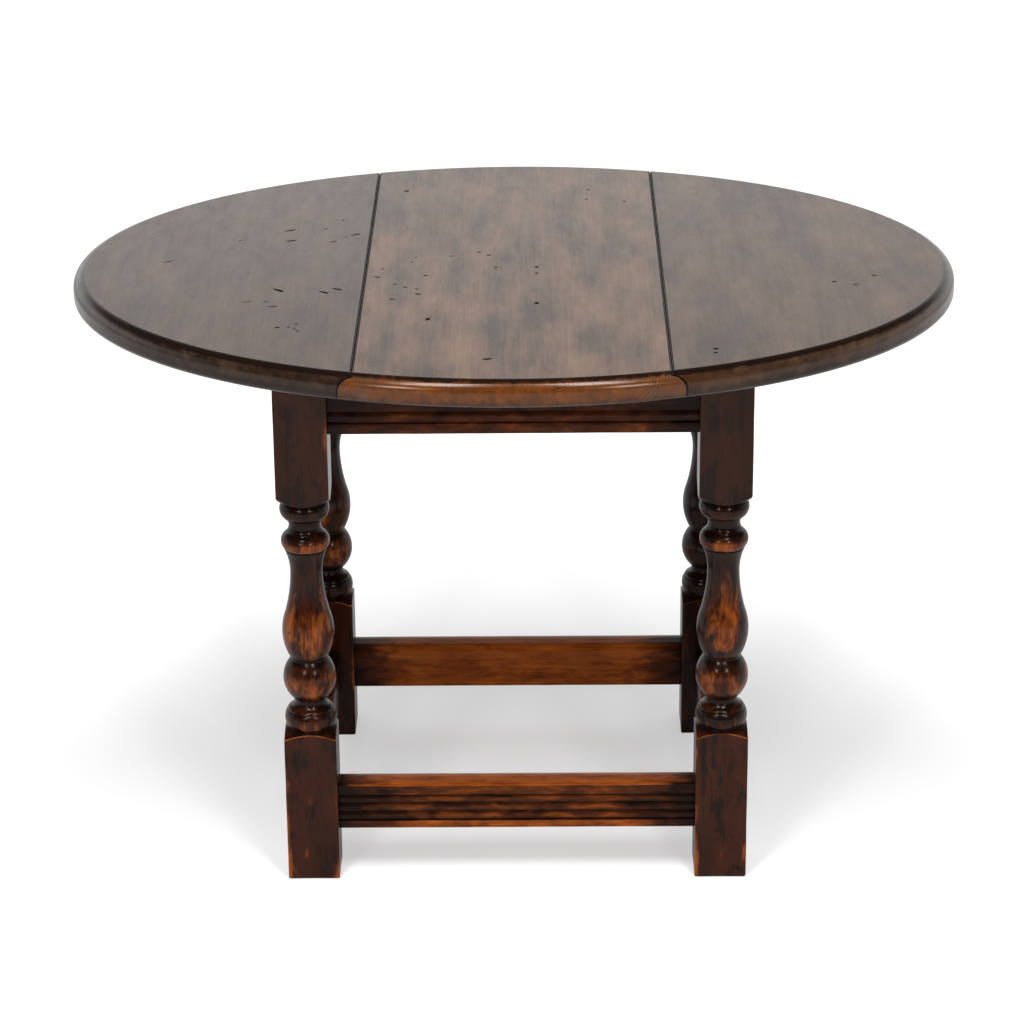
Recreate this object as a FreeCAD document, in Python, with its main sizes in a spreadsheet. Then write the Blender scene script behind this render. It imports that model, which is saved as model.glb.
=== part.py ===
import FreeCAD, Part
import math
import os
import Sketcher

# Oval folding table: a turned and joined base that carries a top on a central pivot.
# The top has a fixed middle board and two D-shaped leaves on rule joints.
# Frame: X along the length of the base, Y towards the back, Z up.
# The origin lies on the floor below the middle of the table.

SIZES = (
    # Whole table
    ("table_height", 510.0),
    ("base_length", 400.0),
    ("base_width", 336.0),
    ("running_gap", 0.3),
    ("cutter_overrun", 1.0),
    # Oval top
    ("top_length", 760.0),
    ("top_width", 614.0),
    ("top_thickness", 22.0),
    ("edge_round", 10.0),
    ("edge_under_round", 5.0),
    ("centre_board_width", 253.0),
    # Rule joint
    ("joint_radius", 12.0),
    ("joint_quirk", 2.5),
    ("joint_gap", 1.1),
    ("joint_clearance", 0.5),
    # Legs
    ("leg_square", 45.0),
    ("foot_block_height", 131.5),
    # Rails
    ("rail_bottom_height", 412.0),
    ("rail_thickness", 23.0),
    ("rail_setback", 9.0),
    ("rail_band_height", 9.0),
    ("rail_bead_height", 10.0),
    ("rail_fascia_setback", 1.2),
    # Stretchers
    ("stretcher_bottom_height", 45.0),
    ("stretcher_height", 42.0),
    ("stretcher_thickness", 23.0),
    ("stretcher_setback", 9.0),
    ("stretcher_band_height", 7.0),
    ("reed_height", 8.0),
    # Grooves beside the beads and reeds
    ("groove_depth", 1.5),
    ("groove_half_width", 0.6),
    # Mortise and tenon joints
    ("tenon_length", 18.0),
    ("tenon_thickness", 9.0),
    ("tenon_shoulder", 7.0),
    ("tenon_clearance", 0.1),
    ("mortise_relief", 1.0),
    # Pivot of the top
    ("bearer_width", 70.0),
    ("bearer_thickness", 25.0),
    ("bearer_housing", 6.0),
    ("pivot_plate_radius", 30.0),
    ("pivot_plate_thickness", 4.0),
    ("pivot_screw_circle", 21.0),
    ("bolt_radius", 5.0),
    ("bolt_head_radius", 9.4),
    ("bolt_head_height", 3.8),
    ("bolt_tail", 3.0),
    ("bolt_running_clearance", 0.05),
    ("washer_radius", 14.0),
    ("washer_thickness", 2.0),
    ("nut_radius", 9.2),
    ("nut_height", 8.0),
    ("peg_radius", 6.0),
    ("peg_seat", 12.0),
    ("peg_drop", 18.0),
    # Hinges
    ("hinge_distance", 90.0),
    ("hinge_width", 38.0),
    ("hinge_pin_radius", 1.6),
    ("hinge_pin_clearance", 0.05),
    ("knuckle_radius", 3.6),
    ("knuckle_length", 15.0),
    ("knuckle_gap", 0.3),
    ("knuckle_room", 0.6),
    ("riser_half", 2.2),
    ("flap_thickness", 2.0),
    ("flap_clearance", 0.2),
    ("flap_lift_room", 1.2),
    ("short_flap_length", 30.0),
    ("long_flap_length", 52.0),
    ("short_flap_screw_near", 13.0),
    ("short_flap_screw_far", 23.0),
    ("long_flap_screw_near", 26.0),
    ("long_flap_screw_far", 42.0),
    ("flap_screw_spread", 12.0),
    # Countersunk screws
    ("screw_length", 13.0),
    ("screw_radius", 1.6),
    ("screw_head_radius", 3.2),
    ("screw_head_height", 1.7),
    ("screw_slot_width", 0.8),
    ("screw_slot_depth", 0.7),
    ("screw_clearance", 0.05),
)

# Stations of the turning, from the foot block up. Each one has its height above the shoulder
# of the foot block, its radius, and how far the curve to the next station bulges: outwards
# above zero, inwards below zero, straight at zero.
TURNING = (
    ("foot_corner", 1.8, 31.9, 0.3),
    ("foot_quirk", 8.4, 19.8, 0.0),
    ("low_bead_foot", 9.2, 20.4, 1.8),
    ("low_bead_top", 23.2, 20.8, 0.0),
    ("ogee_foot", 23.8, 20.0, 0.6),
    ("ogee_middle", 27.0, 17.6, -0.5),
    ("neck_foot", 31.0, 13.6, 0.0),
    ("ball_foot", 34.5, 13.6, 8.0),
    ("ball_top", 72.0, 15.8, 0.0),
    ("vase_foot", 73.0, 15.8, 4.6),
    ("belly_top", 115.0, 19.3, -1.1),
    ("vase_neck", 150.0, 13.8, -1.3),
    ("vase_top", 173.0, 18.0, 0.0),
    ("ring_foot", 173.6, 17.4, 4.0),
    ("cove_foot", 188.6, 16.4, -0.7),
    ("cap_neck", 195.5, 13.8, 0.0),
    ("fillet_foot", 198.6, 13.8, 0.0),
    ("fillet_top", 199.2, 15.0, 0.0),
    ("top_bead_foot", 200.6, 15.0, 3.6),
    ("top_bead_top", 215.6, 19.8, 0.0),
    ("top_shoulder", 216.2, 19.0, 0.5),
    ("block_corner", 227.0, 31.9, 0.0),
)

NODES = []


class Size:
    """A number and the document expression that yields it."""

    def __init__(self, value, text):
        self.value = float(value)
        self.text = text

    def __add__(self, other):
        other = as_size(other)
        return Size(self.value + other.value, f"({self.text} + {other.text})")

    def __sub__(self, other):
        other = as_size(other)
        return Size(self.value - other.value, f"({self.text} - {other.text})")

    def __mul__(self, other):
        other = as_size(other)
        return Size(self.value * other.value, f"({self.text} * {other.text})")

    def __truediv__(self, other):
        other = as_size(other)
        return Size(self.value / other.value, f"({self.text} / {other.text})")

    def __neg__(self):
        return Size(-self.value, f"(-1 * {self.text})")


def as_size(value):
    if isinstance(value, Size):
        return value
    return Size(value, f"({value:g})")


class Sheet:
    """The sizes of the spreadsheet, by alias."""


def add_cell(sheet, sizes, row, name, value):
    sheet.set(f"A{row}", name.replace("_", " "))
    sheet.set(f"B{row}", f"{value:g}")
    sheet.setAlias(f"B{row}", name)
    setattr(sizes, name, Size(value, f"Sizes.{name}"))


def make_sheet():
    sheet = doc.addObject("Spreadsheet::Sheet", "Sizes")
    sizes = Sheet()
    row = 1
    for name, value in SIZES:
        add_cell(sheet, sizes, row, name, value)
        row += 1
    for name, height, radius, bulge in TURNING:
        add_cell(sheet, sizes, row, f"{name}_height", height)
        add_cell(sheet, sizes, row + 1, f"{name}_radius", radius)
        row += 2
        if bulge:
            add_cell(sheet, sizes, row, f"{name}_bulge", abs(bulge))
            row += 1
    doc.recompute()
    return sizes


def bind(obj, prop, size):
    obj.setExpression(prop, as_size(size).text)


def place(obj, x=0, y=0, z=0, turn=0):
    """Put an object at x, y, z, turned about the vertical."""
    x, y, z = as_size(x), as_size(y), as_size(z)
    turned = FreeCAD.Rotation(FreeCAD.Vector(0, 0, 1), turn)
    obj.Placement = FreeCAD.Placement(FreeCAD.Vector(x.value, y.value, z.value), turned)
    bind(obj, "Placement.Base.x", x)
    bind(obj, "Placement.Base.y", y)
    bind(obj, "Placement.Base.z", z)


def node(obj, name):
    """Make an object a named piece of the table."""
    obj.Label = name
    NODES.append(obj)
    return obj


# Part primitives and booleans

def box(name, low, high):
    """A block between two corners."""
    obj = doc.addObject("Part::Box", name)
    low = [as_size(v) for v in low]
    high = [as_size(v) for v in high]
    bind(obj, "Length", high[0] - low[0])
    bind(obj, "Width", high[1] - low[1])
    bind(obj, "Height", high[2] - low[2])
    place(obj, *low)
    return obj


def cylinder(name, base, radius, height):
    """An upright cylinder that stands on its base point."""
    obj = doc.addObject("Part::Cylinder", name)
    bind(obj, "Radius", radius)
    bind(obj, "Height", height)
    place(obj, *base)
    return obj


def barrel(name, base, radius, length):
    """A cylinder that lies along Y from its base point."""
    obj = cylinder(name, base, radius, length)
    lying = FreeCAD.Rotation(FreeCAD.Vector(1, 0, 0), -90)
    obj.Placement = FreeCAD.Placement(obj.Placement.Base, lying)
    return obj


def cone(name, base, low_radius, high_radius, height):
    obj = doc.addObject("Part::Cone", name)
    bind(obj, "Radius1", low_radius)
    bind(obj, "Radius2", high_radius)
    bind(obj, "Height", height)
    place(obj, *base)
    return obj


def fuse(name, shapes):
    if len(shapes) == 1:
        return group(name, shapes)
    obj = doc.addObject("Part::MultiFuse", name)
    obj.Shapes = shapes
    obj.Refine = True
    return obj


def cut(name, base, tools):
    obj = doc.addObject("Part::Cut", name)
    obj.Base = base
    obj.Tool = tools[0] if len(tools) == 1 else fuse(f"{name}_tools", tools)
    return obj


def group(name, shapes):
    obj = doc.addObject("Part::Compound", name)
    obj.Links = shapes
    return obj


# Bodies and sketches

def new_body(name):
    return doc.addObject("PartDesign::Body", name)


def new_sketch(body, name, role):
    sketch = body.newObject("Sketcher::SketchObject", name)
    planes = [f for f in body.Origin.OriginFeatures if f.Role == role]
    sketch.AttachmentSupport = [(planes[0], "")]
    sketch.MapMode = "FlatFace"
    return sketch


def dimension(sketch, kind, geometry, point, size):
    """Hold a point of a sketch at a distance from the sketch's origin."""
    rule = Sketcher.Constraint(kind, -1, 1, geometry, point, size.value)
    index = sketch.addConstraint(rule)
    sketch.setExpression(f"Constraints[{index}]", size.text)


def radius_rule(sketch, geometry, size):
    index = sketch.addConstraint(Sketcher.Constraint("Radius", geometry, size.value))
    sketch.setExpression(f"Constraints[{index}]", size.text)


def bulged(start, end, sagitta):
    """The middle point of an arc that bulges to the right of its chord by the sagitta."""
    chord = end - start
    side = FreeCAD.Vector(chord.y, -chord.x, 0)
    side.normalize()
    return (start + end) * 0.5 + side * sagitta


def outline(sketch, corners):
    """Draw a closed outline.

    Each corner is x, y, the coordinates that are held, and the curve to the next corner:
    None for a straight line, ("bulge", size, side) or ("centre", x, y, radius, sagitta).
    """
    points = [FreeCAD.Vector(c[0].value, c[1].value, 0) for c in corners]
    ends = []
    for i, corner in enumerate(corners):
        start = points[i]
        end = points[(i + 1) % len(points)]
        curve = corner[3]
        if curve is None:
            geometry = sketch.addGeometry(Part.LineSegment(start, end), False)
            ends.append((geometry, 1, 2))
            continue
        sagitta = curve[1].value * curve[2] if curve[0] == "bulge" else curve[4]
        middle = bulged(start, end, sagitta)
        if sagitta > 0:
            geometry = sketch.addGeometry(Part.Arc(start, middle, end), False)
            ends.append((geometry, 1, 2))
        else:
            geometry = sketch.addGeometry(Part.Arc(end, middle, start), False)
            ends.append((geometry, 2, 1))
    for i in range(len(corners)):
        here = ends[i]
        after = ends[(i + 1) % len(ends)]
        joined = Sketcher.Constraint("Coincident", here[0], here[2], after[0], after[1])
        sketch.addConstraint(joined)
    for i, (x, y, held, curve) in enumerate(corners):
        geometry, first, _ = ends[i]
        if "x" in held:
            dimension(sketch, "DistanceX", geometry, first, x)
        if "y" in held:
            dimension(sketch, "DistanceY", geometry, first, y)
        if curve is None:
            continue
        if curve[0] == "bulge":
            following = corners[(i + 1) % len(corners)]
            across = following[0] - x
            along = following[1] - y
            sag = curve[1]
            radius_rule(sketch, geometry, (across * across + along * along) / (sag * 8) + sag / 2)
        else:
            dimension(sketch, "DistanceX", geometry, 3, curve[1])
            dimension(sketch, "DistanceY", geometry, 3, curve[2])
            radius_rule(sketch, geometry, curve[3])


def rectangle(sketch, half_x, half_y):
    outline(sketch, [(-half_x, -half_y, "xy", None), (half_x, -half_y, "xy", None),
                     (half_x, half_y, "xy", None), (-half_x, half_y, "xy", None)])


def ellipse(sketch, half_x, half_y):
    """An ellipse round the sketch's origin with its long axis along x."""
    centre = FreeCAD.Vector(0, 0, 0)
    sketch.addGeometry(Part.Ellipse(centre, half_x.value, half_y.value), False)
    sketch.exposeInternalGeometry(0)
    sketch.addConstraint(Sketcher.Constraint("Coincident", 0, 3, -1, 1))
    sketch.addConstraint(Sketcher.Constraint("Horizontal", 1))
    for geometry, size in ((1, half_x * 2), (2, half_y * 2)):
        rule = Sketcher.Constraint("Distance", geometry, 1, geometry, 2, size.value)
        index = sketch.addConstraint(rule)
        sketch.setExpression(f"Constraints[{index}]", size.text)


def pad(body, sketch, length, middle=False):
    feature = body.newObject("PartDesign::Pad", f"{sketch.Name}_pad")
    feature.Profile = sketch
    if middle:
        feature.SideType = "Symmetric"
    bind(feature, "Length", length)
    sketch.Visibility = False
    return feature


def pocket(body, sketch, length):
    """Cut a sketch out of a body on both sides of its plane."""
    feature = body.newObject("PartDesign::Pocket", f"{sketch.Name}_pocket")
    feature.Profile = sketch
    feature.SideType = "Symmetric"
    bind(feature, "Length", length)
    sketch.Visibility = False
    return feature


def round_rim(body, base, name, height, reach, radius):
    """Round the oval edges of a board that lie flat at a height and reach out that far."""
    doc.recompute()
    edges = []
    for i, edge in enumerate(base.Shape.Edges):
        middle = edge.valueAt((edge.FirstParameter + edge.LastParameter) / 2)
        oval = isinstance(edge.Curve, Part.Ellipse)
        level = abs(middle.z - height.value) < 1e-4
        if oval and level and abs(edge.Curve.MajorRadius - reach.value) < 1e-4:
            edges.append(f"Edge{i + 1}")
    feature = body.newObject("PartDesign::Fillet", name)
    feature.Base = (base, edges)
    bind(feature, "Radius", radius)
    return feature


# Legs

def turned_blank(name, size):
    """A square blank with its middle turned to the baluster shape."""
    body = new_body(f"{name}_blank")
    section = new_sketch(body, f"{name}_section", "XY_Plane")
    rectangle(section, size.leg_square / 2, size.leg_square / 2)
    pad(body, section, leg_height(size))
    shape = new_sketch(body, f"{name}_turning", "XZ_Plane")
    corners = []
    for station, _, _, bulge in TURNING:
        radius = getattr(size, f"{station}_radius")
        height = size.foot_block_height + getattr(size, f"{station}_height")
        curve = None
        if bulge:
            side = 1 if bulge > 0 else -1
            curve = ("bulge", getattr(size, f"{station}_bulge"), side)
        corners.append((radius, height, "xy", curve))
    outline(shape, corners)
    groove = body.newObject("PartDesign::Groove", f"{name}_turned")
    groove.Profile = shape
    groove.ReferenceAxis = (shape, ["V_Axis"])
    groove.Angle = 360
    shape.Visibility = False
    return body


def leg_height(size):
    return size.table_height - size.top_thickness - size.running_gap


def mortises(name, size, side_x, side_y):
    """The four mortises of a leg, as blocks in the leg's own frame."""
    half = size.leg_square / 2
    depth = size.tenon_length + size.mortise_relief
    half_slot = size.tenon_thickness / 2 + size.tenon_clearance
    levels = (
        ("rail", size.rail_setback + size.rail_thickness / 2,
         size.rail_bottom_height, leg_height(size)),
        ("stretcher", size.stretcher_setback + size.stretcher_thickness / 2,
         size.stretcher_bottom_height, size.stretcher_bottom_height + size.stretcher_height),
    )
    tools = []
    for member, inset, bottom, top in levels:
        low_z = bottom + size.tenon_shoulder - size.tenon_clearance
        high_z = top - size.tenon_shoulder + size.tenon_clearance
        for axis, along, across in (("x", side_x, side_y), ("y", side_y, side_x)):
            middle = (half - inset) * across
            mouth = half * -along
            bottom_end = (half - depth) * -along
            near, far = (mouth, bottom_end) if along > 0 else (bottom_end, mouth)
            spans = ((near, far), (middle - half_slot, middle + half_slot))
            if axis == "y":
                spans = spans[::-1]
            tools.append(box(f"{name}_{member}_mortise_{axis}",
                             (spans[0][0], spans[1][0], low_z),
                             (spans[0][1], spans[1][1], high_z)))
    return tools


def make_legs(size):
    for end, side_y in (("front", -1), ("rear", 1)):
        for hand, side_x in (("left", -1), ("right", 1)):
            name = f"leg_{end}_{hand}"
            blank = turned_blank(name, size)
            leg = cut(name, blank, mortises(name, size, side_x, side_y))
            place(leg, (size.base_length - size.leg_square) / 2 * side_x,
                  (size.base_width - size.leg_square) / 2 * side_y)
            node(leg, name)


# Rails and stretchers

def reeds(corners, size, face, start, count, pitch):
    """Add beads with a groove on each side to the outer face of a section."""
    bottom = face + size.groove_depth
    corners.append((face, start, "xy", None))
    for i in range(count):
        height = start + size.groove_half_width + pitch * i
        corners.append((bottom, height, "xy", ("bulge", size.groove_depth, -1)))
    end = start + size.groove_half_width + pitch * count
    corners.append((bottom, end, "xy", None))
    return end + size.groove_half_width


def rail_section(sketch, size):
    half = size.rail_thickness / 2
    height = leg_height(size) - size.rail_bottom_height
    corners = [(-half, as_size(0), "xy", None)]
    end = reeds(corners, size, -half, size.rail_band_height, 1, size.rail_bead_height)
    fascia = -half + size.rail_fascia_setback
    corners += [(fascia, end, "xy", None), (fascia, height, "xy", None),
                (half, height, "xy", None), (half, as_size(0), "xy", None)]
    outline(sketch, corners)


def stretcher_section(sketch, size):
    half = size.stretcher_thickness / 2
    height = size.stretcher_height
    corners = [(-half, as_size(0), "xy", None)]
    end = reeds(corners, size, -half, size.stretcher_band_height, 3, size.reed_height)
    corners += [(-half, end, "xy", None), (-half, height, "xy", None),
                (half, height, "xy", None), (half, as_size(0), "xy", None)]
    outline(sketch, corners)


def member(name, size, section, length, height, housing=None):
    """A rail or stretcher along X with a tenon at each end and its moulded face to -Y."""
    body = new_body(f"{name}_body")
    sketch = new_sketch(body, f"{name}_section", "YZ_Plane")
    section(sketch, size)
    pad(body, sketch, length, middle=True)
    half = length / 2
    tongue = size.tenon_thickness / 2
    tenon = box(f"{name}_tenons",
                (-half - size.tenon_length, -tongue, size.tenon_shoulder),
                (half + size.tenon_length, tongue, height - size.tenon_shoulder))
    joined = fuse(f"{name}_joined" if housing else name, [body, tenon])
    if housing is None:
        return joined
    return cut(name, joined, [housing])


def make_members(size):
    kinds = (
        ("rail", rail_section, size.rail_bottom_height,
         leg_height(size) - size.rail_bottom_height, size.rail_setback, size.rail_thickness),
        ("stretcher", stretcher_section, size.stretcher_bottom_height,
         size.stretcher_height, size.stretcher_setback, size.stretcher_thickness),
    )
    long_side = size.base_length - size.leg_square * 2
    short_side = size.base_width - size.leg_square * 2
    for kind, section, bottom, height, setback, thickness in kinds:
        inset = setback + thickness / 2
        depth = size.base_width / 2 - inset
        reach = size.base_length / 2 - inset
        for where, length, x, y, turn in (
                ("front", long_side, 0, -depth, 0), ("rear", long_side, 0, depth, 180),
                ("left", short_side, -reach, 0, -90), ("right", short_side, reach, 0, 90)):
            name = f"{kind}_{where}"
            housing = None
            if kind == "rail" and where in ("left", "right"):
                housing = bearer_housing(name, size, height)
            obj = member(name, size, section, length, height, housing)
            place(obj, x, y, bottom, turn)
            node(obj, name)


def bearer_housing(name, size, height):
    """The housing for the bearer in the inner face of a side rail."""
    half = size.bearer_width / 2 + size.tenon_clearance
    face = size.rail_thickness / 2
    return box(f"{name}_housing",
               (-half, face - size.bearer_housing - size.tenon_clearance,
                height - size.bearer_thickness - size.tenon_clearance),
               (half, face + size.mortise_relief, height + size.mortise_relief))


# Pivot

def make_pivot(size):
    under = size.table_height - size.top_thickness
    top = leg_height(size)
    low = top - size.bearer_thickness
    reach = (size.base_length / 2 - size.rail_setback - size.rail_thickness
             + size.bearer_housing)
    half = size.bearer_width / 2
    plank = box("pivot_bearer_plank", (-reach, -half, low), (reach, half, top))
    bore = cylinder("pivot_bearer_bore", (0, 0, low - size.cutter_overrun),
                    size.bolt_radius + size.bolt_running_clearance,
                    size.bearer_thickness + size.cutter_overrun * 2)
    node(cut("pivot_bearer", plank, [bore]), "pivot_bearer")

    disc = cylinder("pivot_plate_disc", (0, 0, under), size.pivot_plate_radius,
                    size.pivot_plate_thickness)
    sink = bolt_head("pivot_plate_sink", size, size.bolt_running_clearance)
    hole = cylinder("pivot_plate_hole", (0, 0, under - size.cutter_overrun),
                    size.bolt_radius + size.bolt_running_clearance,
                    size.pivot_plate_thickness + size.cutter_overrun * 2)
    holes = [sink, hole]
    screws = []
    for i, (x, y) in enumerate(pivot_screw_spots(size)):
        holes += screw_hole(f"pivot_plate_screw_hole_{i}", size, x, y)
        screws.append(screw(f"pivot_plate_screw_{i}", size, x, y))
    node(cut("pivot_plate", disc, holes), "pivot_plate")
    node(group("pivot_plate_screws", screws), "pivot_plate_screws")

    washer_top = low - size.running_gap
    washer = cylinder("pivot_washer_disc", (0, 0, washer_top - size.washer_thickness),
                      size.washer_radius, size.washer_thickness)
    washer_hole = cylinder("pivot_washer_hole",
                           (0, 0, washer_top - size.washer_thickness - size.cutter_overrun),
                           size.bolt_radius + size.bolt_running_clearance,
                           size.washer_thickness + size.cutter_overrun * 2)
    node(cut("pivot_washer", washer, [washer_hole]), "pivot_washer")

    nut_top = washer_top - size.washer_thickness
    hexagon = doc.addObject("Part::Prism", "pivot_nut_hexagon")
    hexagon.Polygon = 6
    bind(hexagon, "Circumradius", size.nut_radius)
    bind(hexagon, "Height", size.nut_height)
    place(hexagon, 0, 0, nut_top - size.nut_height)
    nut_hole = cylinder("pivot_nut_hole",
                        (0, 0, nut_top - size.nut_height - size.cutter_overrun),
                        size.bolt_radius + size.bolt_running_clearance,
                        size.nut_height + size.cutter_overrun * 2)
    node(cut("pivot_nut", hexagon, [nut_hole]), "pivot_nut")

    tail = nut_top - size.nut_height - size.bolt_tail
    head = bolt_head("pivot_bolt_head", size, as_size(0))
    shank = cylinder("pivot_bolt_shank", (0, 0, tail), size.bolt_radius,
                     under + size.pivot_plate_thickness - size.bolt_head_height - tail)
    node(fuse("pivot_bolt", [head, shank]), "pivot_bolt")

    offset = size.bearer_width / 2 + size.peg_radius + size.running_gap
    peg = cylinder("stop_peg", (-offset, -offset, under - size.peg_drop), size.peg_radius,
                   size.peg_drop + size.peg_seat)
    node(peg, "stop_peg")


def bolt_head(name, size, clearance):
    """The cone of the countersunk bolt head, flush with the top of the pivot plate."""
    top = size.table_height - size.top_thickness + size.pivot_plate_thickness
    return cone(name, (0, 0, top - size.bolt_head_height), size.bolt_radius + clearance,
                size.bolt_head_radius + clearance, size.bolt_head_height)


def pivot_screw_spots(size):
    reach = size.pivot_screw_circle * math.sqrt(0.5)
    return [(reach * sx, reach * sy) for sx in (-1, 1) for sy in (-1, 1)]


# Countersunk screws, driven up into the top from its underside

def screw(name, size, x, y):
    under = size.table_height - size.top_thickness
    head = cone(f"{name}_head", (x, y, under), size.screw_head_radius, size.screw_radius,
                size.screw_head_height)
    shank = cylinder(f"{name}_shank", (x, y, under + size.screw_head_height),
                     size.screw_radius, size.screw_length - size.screw_head_height)
    solid = fuse(f"{name}_solid", [head, shank])
    half = size.screw_slot_width / 2
    x, y = as_size(x), as_size(y)
    slot = box(f"{name}_slot", (x - size.screw_head_radius, y - half, under - size.cutter_overrun),
               (x + size.screw_head_radius, y + half, under + size.screw_slot_depth))
    return cut(name, solid, [slot])


def screw_hole(name, size, x, y):
    """The countersunk hole of a screw, through metal and wood."""
    under = size.table_height - size.top_thickness
    sink = cone(f"{name}_sink", (x, y, under), size.screw_head_radius + size.screw_clearance,
                size.screw_radius + size.screw_clearance, size.screw_head_height)
    hole = cylinder(f"{name}_shank", (x, y, under - size.cutter_overrun),
                    size.screw_radius + size.screw_clearance,
                    size.screw_length + size.cutter_overrun * 2)
    return [sink, hole]


# Hinges. Each is drawn in its own frame: the origin is the middle of the pin, and x points
# from the middle board to the leaf. The left hinges are turned half round.

HINGES = (("left_front", -1, -1), ("left_rear", -1, 1),
          ("right_front", 1, -1), ("right_rear", 1, 1))


def pin_height(size):
    return size.top_thickness - size.joint_quirk - size.joint_radius


def hinge_place(obj, size, side_x, side_y):
    place(obj, size.centre_board_width / 2 * side_x, size.hinge_distance * side_y,
          size.table_height - size.top_thickness + pin_height(size), 0 if side_x > 0 else 180)


def flap_screws(size, long_flap):
    """Where the screws of a flap lie in the hinge's frame."""
    if long_flap:
        near, far = size.long_flap_screw_near, size.long_flap_screw_far
    else:
        near, far = -size.short_flap_screw_near, -size.short_flap_screw_far
    return [(near, -size.flap_screw_spread), (near, size.flap_screw_spread), (far, as_size(0))]


def flap_holes(name, size, long_flap):
    holes = []
    low = -pin_height(size)
    for i, (x, y) in enumerate(flap_screws(size, long_flap)):
        holes.append(cone(f"{name}_sink_{i}", (x, y, low),
                          size.screw_head_radius + size.screw_clearance,
                          size.screw_radius + size.screw_clearance, size.screw_head_height))
        holes.append(cylinder(f"{name}_hole_{i}", (x, y, low - size.cutter_overrun),
                              size.screw_radius + size.screw_clearance,
                              size.flap_thickness + size.cutter_overrun * 2))
    return holes


def short_flap(name, size):
    half = size.hinge_width / 2
    low = -pin_height(size)
    edge = -size.knuckle_radius - size.knuckle_gap
    inner = size.knuckle_length / 2 + size.knuckle_gap
    parts = [box(f"{name}_plate", (-size.short_flap_length, -half, low),
                 (edge, half, low + size.flap_thickness))]
    for mark, start in (("a", -half), ("b", inner)):
        parts.append(box(f"{name}_riser_{mark}", (edge, start, low),
                         (size.riser_half, start + (half - inner), as_size(0))))
        parts.append(barrel(f"{name}_knuckle_{mark}", (0, start, 0), size.knuckle_radius,
                            half - inner))
    bore = barrel(f"{name}_bore", (0, -half - size.cutter_overrun, 0), size.hinge_pin_radius,
                  size.hinge_width + size.cutter_overrun * 2)
    return cut(name, fuse(f"{name}_solid", parts), [bore] + flap_holes(name, size, False))


def long_flap(name, size):
    half = size.hinge_width / 2
    low = -pin_height(size)
    edge = size.knuckle_radius + size.knuckle_gap
    inner = size.knuckle_length / 2
    parts = [
        box(f"{name}_plate", (edge, -half, low),
            (size.long_flap_length, half, low + size.flap_thickness)),
        box(f"{name}_riser", (-size.riser_half, -inner, low), (edge, inner, as_size(0))),
        barrel(f"{name}_knuckle", (0, -inner, 0), size.knuckle_radius, size.knuckle_length),
    ]
    bore = barrel(f"{name}_bore", (0, -half - size.cutter_overrun, 0),
                  size.hinge_pin_radius + size.hinge_pin_clearance,
                  size.hinge_width + size.cutter_overrun * 2)
    return cut(name, fuse(f"{name}_solid", parts), [bore] + flap_holes(name, size, True))


def make_hinges(size):
    groups = {"centre": [], "left": [], "right": []}
    for hinge, side_x, side_y in HINGES:
        name = f"hinge_{hinge}"
        pin = barrel(f"{name}_pin_rod", (0, -size.hinge_width / 2, 0), size.hinge_pin_radius,
                     size.hinge_width)
        for obj, label in ((short_flap(f"{name}_fixed_flap", size), f"{name}_fixed_flap"),
                           (long_flap(f"{name}_long_flap", size), f"{name}_long_flap"),
                           (group(f"{name}_pin", [pin]), f"{name}_pin")):
            hinge_place(obj, size, side_x, side_y)
            node(obj, label)
        for is_long in (False, True):
            where = ("left" if side_x < 0 else "right") if is_long else "centre"
            for x, y in flap_screws(size, is_long):
                world_x = (size.centre_board_width / 2 + x) * side_x
                world_y = size.hinge_distance * side_y + y * side_x
                mark = f"{name}_screw_{where}_{len(groups[where])}"
                groups[where].append((mark, world_x, world_y))
    for where, spots in groups.items():
        screws = [screw(mark, size, x, y) for mark, x, y in spots]
        node(group(f"hinge_screws_{where}", screws), f"hinge_screws_{where}")
    return groups


def board_recess(name, size, side_x, side_y, leaf):
    """The housing of a hinge in the underside of a board, as blocks in the hinge's frame."""
    half = size.hinge_width / 2 + size.flap_clearance
    low = -pin_height(size) - size.cutter_overrun
    flush = -pin_height(size) + size.flap_thickness
    room = size.knuckle_radius + size.knuckle_room
    wall = size.joint_radius + size.joint_clearance
    if leaf:
        blocks = [box(f"{name}_flap", (wall - size.cutter_overrun, -half, low),
                      (size.long_flap_length + size.flap_clearance, half, flush))]
    else:
        blocks = [
            box(f"{name}_flap", (-size.short_flap_length - size.flap_clearance, -half, low),
                (as_size(0), half, flush)),
            box(f"{name}_knuckle", (-room, -half, low), (room, half, room)),
            box(f"{name}_long_flap", (as_size(0), -half, low),
                (wall + size.cutter_overrun, half, flush + size.flap_lift_room)),
        ]
    recess = fuse(f"{name}_recess", blocks)
    hinge_place(recess, size, side_x, side_y)
    return recess


# Boards of the top

def oval_board(name, size, sides, leaf):
    """A board of the oval top, its underside at zero height."""
    body = new_body(f"{name}_blank")
    rim = new_sketch(body, f"{name}_rim", "XY_Plane")
    ellipse(rim, size.top_length / 2, size.top_width / 2)
    last = pad(body, rim, size.top_thickness)
    for side in sides:
        mark = "left" if side < 0 else "right"
        sketch = new_sketch(body, f"{name}_joint_{mark}", "XZ_Plane")
        outline(sketch, joint_corners(size, side, leaf))
        last = pocket(body, sketch, size.top_width * 2)
    reach = size.top_length / 2
    last = round_rim(body, last, f"{name}_upper_round", size.top_thickness, reach,
                     size.edge_round)
    round_rim(body, last, f"{name}_under_round", as_size(0), reach, size.edge_under_round)
    return body


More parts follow.
